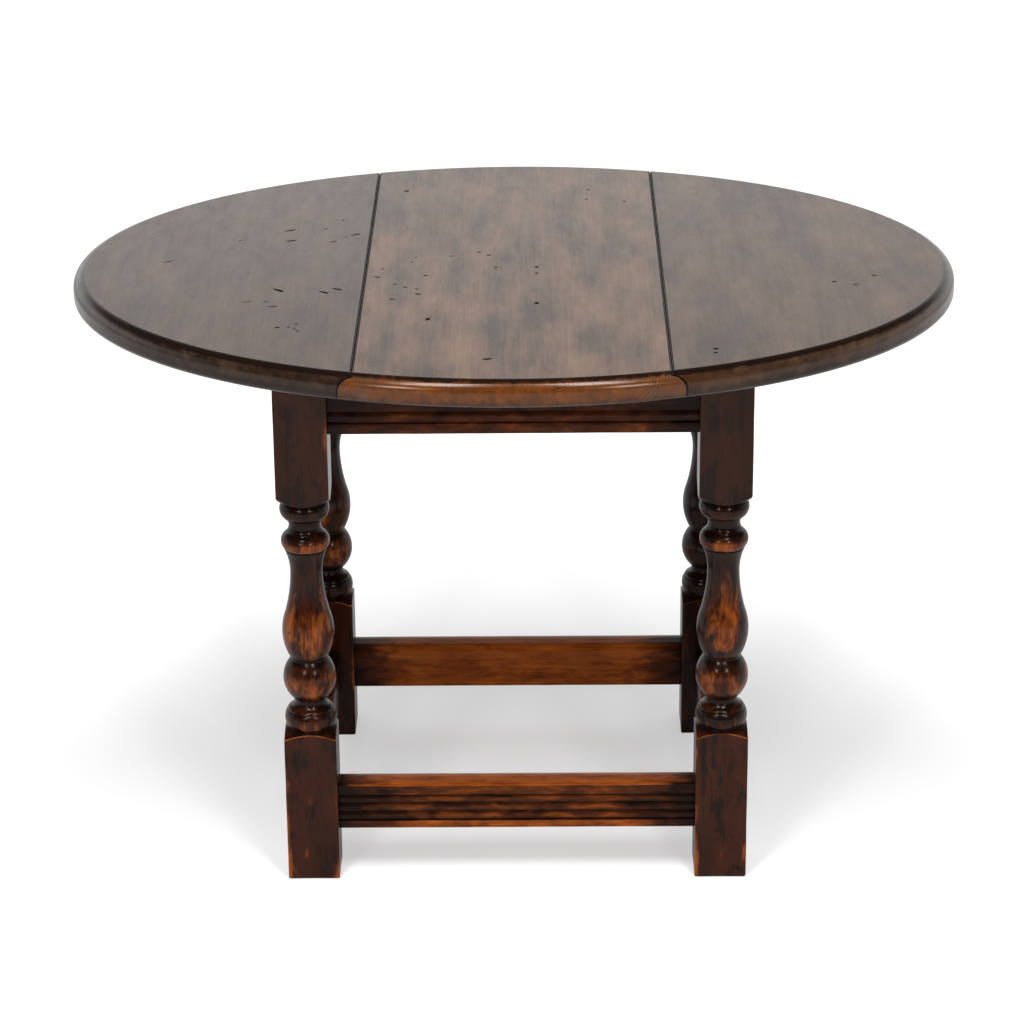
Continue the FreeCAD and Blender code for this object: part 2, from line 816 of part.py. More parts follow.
def joint_corners(size, side, leaf):
    """The waste beyond a rule joint, from the joint line outwards or inwards."""
    line = size.centre_board_width / 2
    level = pin_height(size)
    above = size.top_thickness + size.top_thickness
    below = -size.top_thickness
    radius = size.joint_radius
    start = line
    away = size.top_length
    if leaf:
        radius = radius + size.joint_clearance
        start = line + size.joint_gap
        away = -size.top_length
    rise = math.sqrt(radius.value ** 2 - (start.value - line.value) ** 2)
    lip = Size(level.value + rise, "0")
    root = line + radius
    chord = math.hypot(root.value - start.value, rise)
    sagitta = radius.value - math.sqrt(radius.value ** 2 - chord ** 2 / 4)
    turn = -sagitta * side
    return [
        (start * side, above, "xy", None),
        (start * side, lip, "x", ("centre", line * side, level, radius, turn)),
        (root * side, level, "y", None),
        (root * side, below, "xy", None),
        (away * side, below, "xy", None),
        (away * side, above, "xy", None),
    ]


def make_boards(size, screw_spots):
    under = size.table_height - size.top_thickness
    for name, sides, leaf in (("top_centre_board", (-1, 1), False),
                              ("leaf_left", (-1,), True), ("leaf_right", (1,), True)):
        body = oval_board(name, size, sides, leaf)
        place(body, 0, 0, under)
        tools = [board_recess(f"{name}_{hinge}", size, side_x, side_y, leaf)
                 for hinge, side_x, side_y in HINGES if side_x in sides]
        where = {"leaf_left": "left", "leaf_right": "right"}.get(name, "centre")
        for mark, x, y in screw_spots[where]:
            tools.append(cylinder(f"{mark}_pilot", (x, y, under - size.cutter_overrun),
                                  size.screw_radius + size.screw_clearance,
                                  size.screw_length + size.cutter_overrun * 2))
        if not leaf:
            tools += pivot_recess(size)
        node(cut(name, body, tools), name)


def pivot_recess(size):
    """The housing of the pivot plate, its screws, the bolt and the stop peg in the board."""
    under = size.table_height - size.top_thickness
    tools = [cylinder("board_plate_recess", (0, 0, under - size.cutter_overrun),
                      size.pivot_plate_radius + size.flap_clearance,
                      size.pivot_plate_thickness + size.cutter_overrun)]
    offset = size.bearer_width / 2 + size.peg_radius + size.running_gap
    tools.append(cylinder("board_peg_hole", (-offset, -offset, under - size.cutter_overrun),
                          size.peg_radius, size.peg_seat + size.cutter_overrun))
    for i, (x, y) in enumerate(pivot_screw_spots(size)):
        tools.append(cylinder(f"board_plate_pilot_{i}", (x, y, under - size.cutter_overrun),
                              size.screw_radius + size.screw_clearance,
                              size.screw_length + size.cutter_overrun * 2))
    return tools


def export_nodes():
    os.makedirs("parts", exist_ok=True)
    for obj in NODES:
        if "Invalid" in obj.State or "Error" in obj.State:
            raise RuntimeError(f"{obj.Label} did not compute: {obj.State}")
        shape = obj.Shape
        if shape.isNull() or not shape.isValid() or not shape.Solids:
            raise RuntimeError(f"{obj.Label} has no sound solid")
        shape.exportStep(f"parts/{obj.Label}.step")
        span = shape.optimalBoundingBox(False)
        print(f"{obj.Label}: {len(shape.Solids)} solids, {shape.Volume / 1000:.1f} cm3, "
              f"x {span.XMin:.1f} {span.XMax:.1f}, y {span.YMin:.1f} {span.YMax:.1f}, "
              f"z {span.ZMin:.1f} {span.ZMax:.1f}")


doc = FreeCAD.newDocument("FoldingTable")
sizes = make_sheet()
make_legs(sizes)
make_members(sizes)
make_pivot(sizes)
spots = make_hinges(sizes)
make_boards(sizes, spots)
doc.recompute()
export_nodes()
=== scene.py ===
"""Low oval folding table in dark stained oak: turned legs, reeded stretchers, moulded rails and
a top of three boards on rule joints. Sizes in the tables are millimetres, the scene is metres."""

import math

import bmesh
import bpy
import numpy as np
from mathutils import Matrix, Vector, geometry, noise


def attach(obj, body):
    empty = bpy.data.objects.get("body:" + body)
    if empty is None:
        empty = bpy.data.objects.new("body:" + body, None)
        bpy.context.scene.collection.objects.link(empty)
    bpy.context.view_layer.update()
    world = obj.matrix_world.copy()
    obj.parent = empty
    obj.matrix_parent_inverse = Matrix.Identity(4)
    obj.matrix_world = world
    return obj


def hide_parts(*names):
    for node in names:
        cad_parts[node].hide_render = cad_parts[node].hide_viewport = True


MM = 0.001

# Base
BASE_LENGTH, BASE_WIDTH = 400.0, 336.0
LEG_SQUARE, LEG_HEIGHT, FOOT_BLOCK, SHOULDER_EASE = 45.0, 487.7, 131.5, 1.7
RAIL_BOTTOM, RAIL_BAND, RAIL_BEAD, RAIL_FASCIA = 412.0, 9.0, 10.0, 1.2
STRETCHER_BOTTOM, STRETCHER_HEIGHT, STRETCHER_BAND, REED = 45.0, 42.0, 7.0, 8.0
MEMBER_THICKNESS, MEMBER_SETBACK = 23.0, 9.0
GROOVE_DEPTH, GROOVE_HALF_WIDTH = 1.5, 0.6
BEARER_WIDTH, BEARER_THICKNESS, BEARER_HOUSING = 70.0, 25.0, 6.0

# Top
TOP_LENGTH, TOP_WIDTH, TOP_THICKNESS, TOP_UNDERSIDE = 760.0, 614.0, 22.0, 488.0
EDGE_ROUND, EDGE_UNDER_ROUND = 10.0, 5.0
JOINT_LINE, JOINT_RADIUS = 126.5, 12.0
JOINT_GAP, JOINT_CLEARANCE = 1.1, 0.5
ARRIS, JOINT_BORDER, RIM_NICK = 0.3, 0.8, 0.25
UNGLAZED = -0.15

# Hinges and pivot in the underside of the top
HINGE_POSITION, HINGE_WIDTH, PIN_HEIGHT = 90.0, 38.4, 7.5
SHORT_FLAP, LONG_FLAP, FLAP_THICKNESS, KNUCKLE_ROOM = 30.2, 52.2, 2.0, 4.2
PLATE_RADIUS, PLATE_THICKNESS, PLATE_SCREW_CIRCLE = 30.2, 4.0, 21.0
SCREW_HEAD, SCREW_SHANK, SCREW_SINK, SCREW_LENGTH = 3.2, 1.6, 1.7, 13.0
SCREW_SLOT_WIDTH, SCREW_SLOT_DEPTH = 0.8, 0.7

# The turning, from the foot block up: height, radius, and how far the curve to the next station
# swells out (above zero) or hollows in (below zero).
TURNING = (
    (1.8, 31.9, 0.3), (8.4, 19.8, 0.0), (9.2, 20.4, 1.8), (23.2, 20.8, 0.0), (23.8, 20.0, 0.6),
    (27.0, 17.6, -0.5), (31.0, 13.6, 0.0), (34.5, 13.6, 8.0), (72.0, 15.8, 0.0),
    (73.0, 15.8, 4.6), (115.0, 19.3, -1.1), (150.0, 13.8, -1.3), (173.0, 18.0, 0.0),
    (173.6, 17.4, 4.0), (188.6, 16.4, -0.7), (195.5, 13.8, 0.0), (198.6, 13.8, 0.0),
    (199.2, 15.0, 0.0), (200.6, 15.0, 3.6), (215.6, 19.8, 0.0), (216.2, 19.0, 0.5),
    (227.0, 31.9, 0.0),
)

# Between these heights the turning is round all the way about.
ROUND_FROM, ROUND_TO = 8.3, 216.3

# How the finisher left the legs, by height above the shoulder of the foot block: where the
# colour is rubbed through to amber, and where it is black: the glaze, and painted shade in the
# quirks and hollows, where shade falls.
LEG_FINISH = (
    # height, rubbed, glaze and painted shade
    (-132, 0.34, 0.24), (-100, 0.20, 0.20), (-40, 0.10, 0.22), (-12, -0.05, 0.40),
    (1, -0.10, 0.36), (6, -0.05, 0.34), (8.4, -0.40, 1.10), (10, 0.32, 0.40), (16, 0.32, 0.36),
    (22, 0.00, 0.66), (23.4, 0.00, 0.90), (25, 0.12, 0.48), (28, 0.05, 0.54), (31, -0.40, 1.05),
    (35, 0.10, 0.54), (44, 0.64, 0.14), (58, 0.62, 0.12), (68, 0.28, 0.42), (72, -0.40, 1.10),
    (75, 0.30, 0.44), (88, 0.50, 0.28), (104, 0.48, 0.30), (122, 0.30, 0.42),
    (140, 0.12, 0.54), (156, 0.00, 0.62), (170, -0.08, 0.72), (173.4, -0.40, 1.15),
    (175, 0.62, 0.20), (181, 0.64, 0.18), (186, 0.22, 0.40), (190, -0.20, 0.80),
    (198, -0.30, 1.00), (199.8, 0.50, 0.35), (200.6, -0.40, 1.10), (203, 0.26, 0.38),
    (209, 0.12, 0.44), (214, -0.05, 0.66), (216, -0.40, 1.10), (219, -0.10, 0.60),
    (230, -0.10, 0.46), (262, 0.00, 0.26), (356, 0.00, 0.26),
)


def colour(code):
    """An sRGB hex colour as linear RGBA."""
    parts = [int(code[i:i + 2], 16) / 255 for i in (1, 3, 5)]
    return tuple(c / 12.92 if c <= 0.04045 else ((c + 0.055) / 1.055) ** 2.4
                 for c in parts) + (1.0,)


def add(tree, kind, inputs=None, out=0, **settings):
    """Add a node with its settings and its values or links, and return one of its outputs."""
    made = tree.nodes.new(kind)
    for key, value in settings.items():
        setattr(made, key, value)
    for key, value in (inputs or {}).items():
        if isinstance(value, bpy.types.NodeSocket):
            tree.links.new(value, made.inputs[key])
        else:
            made.inputs[key].default_value = value
    return made.outputs[out] if made.outputs else made


# Finishes

ALONG_X = (0.0, -math.pi / 2, 0.0)
ALONG_Y = (math.pi / 2, 0.0, 0.0)
ALONG_Z = (0.0, 0.0, 0.0)


def new_finish(name):
    finish = bpy.data.materials.new(name)
    finish.use_nodes = True
    finish.node_tree.nodes.clear()
    return finish, finish.node_tree


def antiqued_oak(name, grain, pith, stain, rubbed, shine=0.30, coat=0.3, index=1.3,
                 figure=1.0, cloud=1.0, worn=1.0, soften=0.26, hatching=0.6):
    """Oak, stained dark, glazed black in the hollows, rubbed back on the proud parts, waxed.

    grain turns the piece's own axes so that the fibres run along the third one. pith is where
    the heart of the tree lies across the grain, in millimetres. stain is the dark and light of
    the stained wood, rubbed the dark and light of the wood where it is rubbed through. The eye
    gets a deep brown body, black in every hollow, with a warm glow on what hands have touched
    and a soft wax shine over all of it. The black is glaze, and it is also painted shade in
    creases, in grooves and at the ends of members. On the rounded edge of the top it is also
    painted shade and a painted dark reflection.
    """
    finish, tree = new_finish(name)
    spot = add(tree, "ShaderNodeTexCoord", out="Object")
    wood = add(tree, "ShaderNodeMapping", {"Vector": spot, "Rotation": grain,
                                           "Location": (-pith[0], -pith[1], 0.0),
                                           "Scale": (1000.0, 1000.0, 1000.0)})
    facing = add(tree, "ShaderNodeTexCoord", out="Normal")
    facing = add(tree, "ShaderNodeMapping", {"Vector": facing, "Rotation": grain},
                 vector_type="VECTOR")
    facing = add(tree, "ShaderNodeSeparateXYZ", {0: facing}, out=2)
    facing = add(tree, "ShaderNodeMath", {0: facing}, operation="ABSOLUTE")
    end_grain = add(tree, "ShaderNodeMapRange", {"Value": facing, "From Min": 0.3,
                                                 "From Max": 0.8})
    glazed = add(tree, "ShaderNodeAttribute", out="Fac", attribute_name="glazed")
    bare = add(tree, "ShaderNodeAttribute", out="Fac", attribute_name="rubbed")

    # What varies in the wood, as noises: how fast across and along the grain, per millimetre.
    noises = []
    for across, along, detail, rough, bend in (
            (0.022, 0.0016, 2.0, 0.5, 0.0),  # sway of the rings, by the way the tree grew
            (0.42, 0.012, 5.0, 0.62, 0.0),  # fibres: streaks 2 mm wide and 80 mm long
            (2.1, 0.17, 2.0, 0.5, 0.0),  # open pores, drawn 0.5 mm wide so that they show
            (0.034, 0.011, 4.0, 0.55, 0.0),  # clouds 30 mm across where the stain took
            (0.11, 0.034, 5.0, 0.6, 0.4),  # patches within the clouds
            (0.085, 0.036, 3.0, 0.5, 0.8)):  # blotches 12 mm across where the glaze came off
        place = add(tree, "ShaderNodeVectorMath", {0: wood, 1: (across, across, along)},
                    operation="MULTIPLY")
        noises.append(add(tree, "ShaderNodeTexNoise", {
            "Vector": place, "Scale": 1.0, "Detail": detail, "Roughness": rough,
            "Distortion": bend}))
    sway, streak, pore, clouds, patch, blotch = noises

    # Yearly rings, 1.8 mm apart.
    heart = add(tree, "ShaderNodeVectorMath", {0: wood, 1: (1.0, 1.0, 0.0)},
                operation="MULTIPLY")
    heart = add(tree, "ShaderNodeVectorMath", {0: heart}, out="Value", operation="LENGTH")
    ring = add(tree, "ShaderNodeMath", {0: sway, 1: 26.0, 2: heart}, operation="MULTIPLY_ADD")
    ring = add(tree, "ShaderNodeMath", {0: ring, 1: 1.8}, operation="DIVIDE")
    ring = add(tree, "ShaderNodeMath", {0: ring}, operation="FRACT")
    early = add(tree, "ShaderNodeMapRange", {"Value": ring, "From Max": 0.55, "To Min": 1.0,
                                             "To Max": 0.0}, interpolation_type="SMOOTHSTEP")

    # Seen end on, the fibres are too fine to show. The pores open in the early wood.
    calm = add(tree, "ShaderNodeMath", {0: end_grain, 1: 0.8}, operation="MULTIPLY")
    streak = add(tree, "ShaderNodeMix", {0: calm, 2: streak, 3: 0.5})
    pore = add(tree, "ShaderNodeMapRange", {"Value": pore, "From Min": 0.58, "From Max": 0.70},
               interpolation_type="SMOOTHSTEP")
    opened = add(tree, "ShaderNodeMath", {0: early, 1: 0.7, 2: 0.3}, operation="MULTIPLY_ADD")
    pore = add(tree, "ShaderNodeMath", {0: pore, 1: opened}, operation="MULTIPLY")

    # Stain: dark to light by fibre, ring and cloud. The rings stand out on the end grain.
    tone = 0.5 - 0.85 * figure - 0.95 * cloud
    for part, share in ((streak, 1.7 * figure), (early, -0.2 * figure), (clouds, 1.9 * cloud)):
        tone = add(tree, "ShaderNodeMath", {0: part, 1: share, 2: tone},
                   operation="MULTIPLY_ADD")
    warm = add(tree, "ShaderNodeMath", {0: streak, 1: patch}, operation="ADD")
    warm = add(tree, "ShaderNodeMapRange", {"Value": warm, "From Min": 0.72, "From Max": 1.28})
    amber = add(tree, "ShaderNodeMix", {0: warm, 6: colour(rubbed[0]), 7: colour(rubbed[1])},
                out=2, data_type="RGBA")

    # Rubbing and glazing, both ragged at their edges. The glazing also lays on painted shade.
    bare = add(tree, "ShaderNodeMath", {0: patch, 1: 1.5, 2: bare}, operation="MULTIPLY_ADD")
    bare = add(tree, "ShaderNodeMapRange", {"Value": bare, "From Min": 1.25 - soften,
                                            "From Max": 1.25 + soften},
               interpolation_type="SMOOTHSTEP")
    for part, share in ((blotch, 2.2 * worn), (streak, 1.5)):
        glazed = add(tree, "ShaderNodeMath", {0: part, 1: share, 2: glazed},
                     operation="MULTIPLY_ADD")
    kept = 1.28 + 1.1 * worn
    glazed = add(tree, "ShaderNodeMapRange", {"Value": glazed, "From Min": kept - soften,
                                              "From Max": kept + soften, "To Max": 0.96},
                 interpolation_type="SMOOTHSTEP")
    hatch = add(tree, "ShaderNodeMath", {0: early, 1: end_grain}, operation="MULTIPLY")
    fade = add(tree, "ShaderNodeMapRange", {"Value": clouds, "From Min": 0.30, "From Max": 0.5,
                                            "To Max": hatching})
    hatch = add(tree, "ShaderNodeMath", {0: hatch, 1: fade}, operation="MULTIPLY")
    open_pore = add(tree, "ShaderNodeMath", {0: pore, 1: 0.5 * figure}, operation="MULTIPLY")
    # The glaze black #140906 is also the colour of all the painted shade, and of the painted dark
    # reflection on the top's edge.
    body = colour(stain[0])
    for share, over in ((tone, colour(stain[1])), (bare, amber), (hatch, colour("#1f0f08")),
                        (glazed, colour("#140906")), (open_pore, colour("#160b07"))):
        body = add(tree, "ShaderNodeMix", {0: share, 6: body, 7: over}, out=2,
                   data_type="RGBA")

    # Wax over shellac: a satin body, its shine warm from the colour under it, and a thin coat.
    gloss = add(tree, "ShaderNodeMapRange", {"Value": patch, "From Min": 0.3, "From Max": 0.7,
                                             "To Min": shine - 0.05, "To Max": shine + 0.07})
    relief = 0.0
    for part, height in ((streak, 0.35), (pore, -0.6), (patch, 0.5)):
        relief = add(tree, "ShaderNodeMath", {0: part, 1: height, 2: relief},
                     operation="MULTIPLY_ADD")
    relief = add(tree, "ShaderNodeBump", {"Height": relief, "Strength": 0.22 * figure,
                                          "Distance": 0.0004})
    shader = add(tree, "ShaderNodeBsdfPrincipled", {
        "Base Color": body, "Roughness": gloss, "Normal": relief, "IOR": index,
        "Specular Tint": colour("#a5785a"), "Coat Weight": coat, "Coat Roughness": 0.16})
    add(tree, "ShaderNodeOutputMaterial", {"Surface": shader})
    return finish


def tarnished_metal(name, clean, dull, roughness):
    """Bare metal that has dulled in clouds, brightest where it was last handled."""
    finish, tree = new_finish(name)
    spot = add(tree, "ShaderNodeTexCoord", out="Object")
    # Tarnish clouds about 6 mm across, and file marks under a millimetre.
    cloud = add(tree, "ShaderNodeTexNoise", {"Vector": spot, "Scale": 160.0, "Detail": 4.0,
                                             "Roughness": 0.6})
    dulling = add(tree, "ShaderNodeMapRange", {"Value": cloud, "From Min": 0.35,
                                               "From Max": 0.65})
    body = add(tree, "ShaderNodeMix", {0: dulling, 6: colour(clean), 7: colour(dull)}, out=2,
               data_type="RGBA")
    shine = add(tree, "ShaderNodeMapRange", {"Value": cloud, "From Min": 0.3, "From Max": 0.7,
                                             "To Min": roughness, "To Max": roughness + 0.25})
    marks = add(tree, "ShaderNodeTexNoise", {"Vector": spot, "Scale": 1400.0, "Detail": 2.0})
    marks = add(tree, "ShaderNodeBump", {"Height": marks, "Strength": 0.2,
                                         "Distance": 0.00008})
    shader = add(tree, "ShaderNodeBsdfPrincipled", {
        "Base Color": body, "Roughness": shine, "Normal": marks, "Metallic": 1.0})
    add(tree, "ShaderNodeOutputMaterial", {"Surface": shader})
    return finish


def black_wax():
    """Black wax packed into the dents and along the rule joints, dull and uneven."""
    finish, tree = new_finish("black_wax")
    spot = add(tree, "ShaderNodeTexCoord", out="Object")
    cloud = add(tree, "ShaderNodeTexNoise", {"Vector": spot, "Scale": 900.0, "Detail": 2.0})
    body = add(tree, "ShaderNodeMix", {0: cloud, 6: colour("#0b0605"), 7: colour("#20130c")},
               out=2, data_type="RGBA")
    shader = add(tree, "ShaderNodeBsdfPrincipled", {"Base Color": body, "Roughness": 0.6,
                                                    "Specular IOR Level": 0.12})
    add(tree, "ShaderNodeOutputMaterial", {"Surface": shader})
    return finish


# Mesh helpers

def in_scene(name, data):
    """A new object, linked to the scene."""
    made = bpy.data.objects.new(name, data)
    bpy.context.scene.collection.objects.link(made)
    return made


def made_mesh(piece):
    """What a piece's modifiers make of it, as a plain mesh."""
    graph = bpy.context.evaluated_depsgraph_get()
    return bpy.data.meshes.new_from_object(piece.evaluated_get(graph))


def new_piece(name, verts, faces, finishes, marks=None, crease=35.0):
    """A mesh piece from points in millimetres, with its named values for the finish."""
    mesh = bpy.data.meshes.new(name)
    mesh.from_pydata((np.asarray(verts) * MM).tolist(), [], faces)
    for finish in finishes:
        mesh.materials.append(finish)
    for key, values in (marks or {}).items():
        layer = mesh.attributes.new(key, "FLOAT", "POINT")
        layer.data.foreach_set("value", np.asarray(values, np.float32))
    mesh.update()
    mesh.shade_smooth()
    mesh.set_sharp_from_angle(angle=math.radians(crease))
    return in_scene(name, mesh)


def hand_in(piece, body, slot, *nodes):
    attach(piece, body)
    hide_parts(*nodes)


def skin(rows, columns, start=0):
    """Quads between closed rings of points, numbered ring by ring."""
    faces = []
    for r in range(rows - 1):
        low = start + r * columns
        for c in range(columns):
            d = (c + 1) % columns
            faces.append((low + c, low + d, low + columns + d, low + columns + c))
    return faces


def blur(values, width, step):
    """Smooth evenly spaced values over a width."""
    reach = int(3 * width / step) + 1
    kernel = np.exp(-0.5 * (np.arange(-reach, reach + 1) * step / width) ** 2)
    kernel /= kernel.sum()
    padded = np.concatenate([np.full(reach, values[0]), values, np.full(reach, values[-1])])
    return np.convolve(padded, kernel, mode="valid")


def arc(start, end, swell, steps):
    """Points from start up to end along an arc that swells to the right of its chord."""
    start, end = np.array(start, float), np.array(end, float)
    if abs(swell) < 1e-6:
        return [tuple(start + (end - start) * i / steps) for i in range(steps)]
    chord = end - start
    length = np.hypot(*chord)
    side = np.array([chord[1], -chord[0]]) / length
    radius = (length ** 2 / 4 + swell ** 2) / (2 * swell)
    centre = (start + end) / 2 + side * (swell - radius)
    half = math.asin(min(1.0, length / 2 / abs(radius)))
    points = []
    for i in range(steps):
        turn = half * (2 * i / steps - 1)
        points.append(tuple(centre + side * radius * math.cos(turn)
                            + chord / length * abs(radius) * math.sin(turn)))
    return points


# Legs

def turned_profile():
    """Heights and radii of the turning, its corners eased as the sandpaper leaves them."""
    points = []
    for (low, r0, swell), (high, r1, _) in zip(TURNING, TURNING[1:]):
        length = math.hypot(high - low, r1 - r0)
        points += arc((r0, low), (r1, high), swell, max(2, int(length / 0.1)))
    points.append((TURNING[-1][1], TURNING[-1][0]))
    points = np.array(points)
    run = np.concatenate([[0], np.cumsum(np.hypot(*np.diff(points, axis=0).T))])
    even = np.arange(0, run[-1], 0.1)
    radius = blur(np.interp(even, run, points[:, 0]), 0.28, 0.1)
    height = blur(np.interp(even, run, points[:, 1]), 0.28, 0.1)
    return height, radius


def square_reach(angle, ease):
    """Distance from the middle of the leg to its square outline, corners eased."""
    half = LEG_SQUARE / 2
    turned = np.abs((angle + math.pi / 4) % (math.pi / 2) - math.pi / 4)
    flat = half / np.cos(turned)
    off = math.pi / 4 - turned
    heart = (half - ease) * math.sqrt(2)
    under = np.maximum(ease ** 2 - (heart * np.sin(off)) ** 2, 0)
    rounded = heart * np.cos(off) + np.sqrt(under)
    limit = np.arctan2(half - ease, half)
    return np.where(turned > limit, rounded, flat)


def leg_piece(name, side_x, side_y, finish, seed, leg_darkening):
    """A turned leg. The last argument darkens the whole leg: less rubbed amber, more black."""
    height, radius = turned_profile()
    # The columns close up at the corners of the square, the rows where the profile bends.
    quarter = np.concatenate([np.linspace(-41.5, 41.5, 25), np.linspace(42.4, 47.6, 6)])
    angle = np.radians(np.concatenate([quarter + 90 * i for i in range(4)]))
    columns = len(angle)
    whole = (height > ROUND_FROM) & (height < ROUND_TO)
    run = np.concatenate([[0], np.cumsum(np.hypot(np.diff(height), np.diff(radius)))])
    lean = np.unwrap(np.arctan2(np.gradient(radius), np.gradient(height)))
    pace = np.concatenate([[0], np.cumsum(np.diff(run) / 2.4 + np.abs(np.diff(lean)) / 0.16)])
    first, last = np.flatnonzero(whole)[[0, -1]]
    picks = np.interp(np.arange(pace[first], pace[last], 1.0), pace, np.arange(len(pace)))
    turned_rows = np.unique(np.round(picks).astype(int))
    wander = Vector((side_x * 7.3, side_y * 3.1, seed))
    square = square_reach(angle, np.full(columns, SHOULDER_EASE))
    rings = []

    def eased(level, here):
        """How far the arrises of the blocks are worn round at a height."""
        knock = noise.noise(Vector((level * 0.035, here * 5.0, 0.0)) + wander)
        return 1.5 + 1.1 * max(-1.0, min(1.0, knock * 1.6))

    def block_ring(level, shrink=0.0):
        ease = np.array([eased(level, round(a / (math.pi / 2) - 0.5)) for a in angle])
        rings.append((np.full(columns, level), square_reach(angle, ease) - shrink, 0.0))

    def turned_ring(level, wear=0.0):
        rings.append((level, np.interp(level, height, radius), wear))

    def cut_heights(low, high, rising):
        """Where the turning runs out through each side of the square, between two heights."""
        inside = (height >= low) & (height <= high)
        h, r = (height[inside], radius[inside]) if rising else (height[inside][::-1],
                                                                radius[inside][::-1])
        reach = square_reach(angle, np.full(columns, 1.5))
        return np.interp(reach, np.maximum.accumulate(r), h)

    for level, shrink in ((0.0, 1.6), (0.35, 0.7), (1.0, 0.2), (2.0, 0.0)):
        block_ring(level - FOOT_BLOCK, shrink)
    for level in np.arange(8.0, FOOT_BLOCK - 8.0, 5.5):
        block_ring(level - FOOT_BLOCK)
    # Foot shoulder: the flat runs up to the cut, the cut runs on to the first bead.
    cut = cut_heights(1.7, 8.4, False)
    for share in (0.0, 0.25, 0.5, 0.72, 0.88):
        rings.append((-6.0 + (cut + 6.0) * share, square, 0.0))
    for back, pull, wear in ((1.1, 0.0, 0.0), (0.32, 0.1, 1.0)):
        rings.append((cut - back, square - pull, wear))
    for share, wear in ((0.05, 1.0), (0.14, 0.1), (0.3, 0.0), (0.5, 0.0), (0.7, 0.0),
                        (0.86, 0.0)):
        turned_ring(cut + (8.25 - cut) * share, wear)
    for i in turned_rows:
        rings.append((np.full(columns, height[i]), np.full(columns, radius[i]), 0.0))
    # Upper shoulder: the hollow runs out through the sides of the square.
    cut = cut_heights(216.2, 227.1, True)
    for share in (0.12, 0.3, 0.5, 0.7, 0.86, 0.95):
        turned_ring(216.5 + (cut - 216.5) * share)
    for on, pull, wear in ((0.32, 0.1, 0.5), (0.9, 0.0, 0.0)):
        rings.append((cut + on, square - pull, wear))
    for share in (0.2, 0.4, 0.6, 0.8, 1.0):
        rings.append((cut + (238.0 - cut) * share, square, 0.0))
    top = LEG_HEIGHT - FOOT_BLOCK
    for level in np.arange(244.0, top - 2.0, 6.0):
        block_ring(level)
    for level, shrink in ((top - 1.0, 0.0), (top - 0.3, 0.3), (top, 1.0)):
        block_ring(level, shrink)

    level = np.concatenate([r[0] for r in rings])
    reach = np.concatenate([r[1] for r in rings])
    wear = np.repeat([r[2] for r in rings], columns)
    around = np.tile(angle, len(rings))

    def uneven(width, rise, shift):
        """Noise round the leg and up it, at every point."""
        return np.array([noise.noise(Vector((math.cos(a) * width, math.sin(a) * width, h * rise))
                                     + wander * shift) for a, h in zip(around, level)])

    # The lathe leaves the round parts a hair out of true.
    reach = reach - 0.08 * (uneven(0.8, 0.02, 1.0) + 1.0)
    x0 = (BASE_LENGTH - LEG_SQUARE) / 2 * side_x
    y0 = (BASE_WIDTH - LEG_SQUARE) / 2 * side_y
    verts = np.stack([x0 + reach * np.cos(around), y0 + reach * np.sin(around),
                      FOOT_BLOCK + level], axis=1)
    faces = skin(len(rings), columns)
    count = len(verts)
    faces.append(tuple(range(columns))[::-1])
    faces.append(tuple(range(count - columns, count)))

    table = np.array(LEG_FINISH)
    bare = np.interp(level, table[:, 0], table[:, 1])
    glazed = np.interp(level, table[:, 0], table[:, 2])
    in_block = (level < 1) | (level > 228)
    corner = np.abs(np.abs((around + math.pi / 4) % (math.pi / 2) - math.pi / 4) - math.pi / 4)
    near = np.clip(1 - corner / math.radians(7.5), 0, 1) * in_block
    patchy = np.clip(uneven(2.0, 0.02, 2.3) * 2.2 + 0.35, 0, 1)
    bare = bare + 0.6 * near * patchy + 0.9 * wear
    glazed = glazed - 0.3 * near * patchy - 0.7 * wear
    # Handling has rubbed the swells unevenly round the leg.
    lopsided = uneven(1.1, 0.0132, 1.7)
    bare = bare + 0.45 * lopsided - 0.7 * leg_darkening
    glazed = glazed - 0.3 * lopsided + 0.45 * leg_darkening
    return new_piece(name, verts, faces, [finish], {"rubbed": bare, "glazed": glazed}, 40.0)


# Rails, stretchers and bearer

def beads(face, start, count, pitch):
    """The section of beads with a quirk at each side, from a height upwards."""
    bottom = face + GROOVE_DEPTH
    points = [(face, start - 0.35), (face + 0.12, start)]
    for i in range(count):
        low = start + GROOVE_HALF_WIDTH + pitch * i
        points += arc((bottom, low), (bottom, low + pitch), -GROOVE_DEPTH, 10)
    end = start + GROOVE_HALF_WIDTH + pitch * count
    points += [(bottom, end), (face + 0.12, end + GROOVE_HALF_WIDTH),
               (face, end + GROOVE_HALF_WIDTH + 0.35)]
    return points


def eased_corner(x, y, toward_x, toward_y, ease):
    """Three points that take the edge off a corner, from the x side to the y side."""
    return [(x + toward_x * ease, y), (x + toward_x * ease * 0.3, y + toward_y * ease * 0.3),
            (x, y + toward_y * ease)]


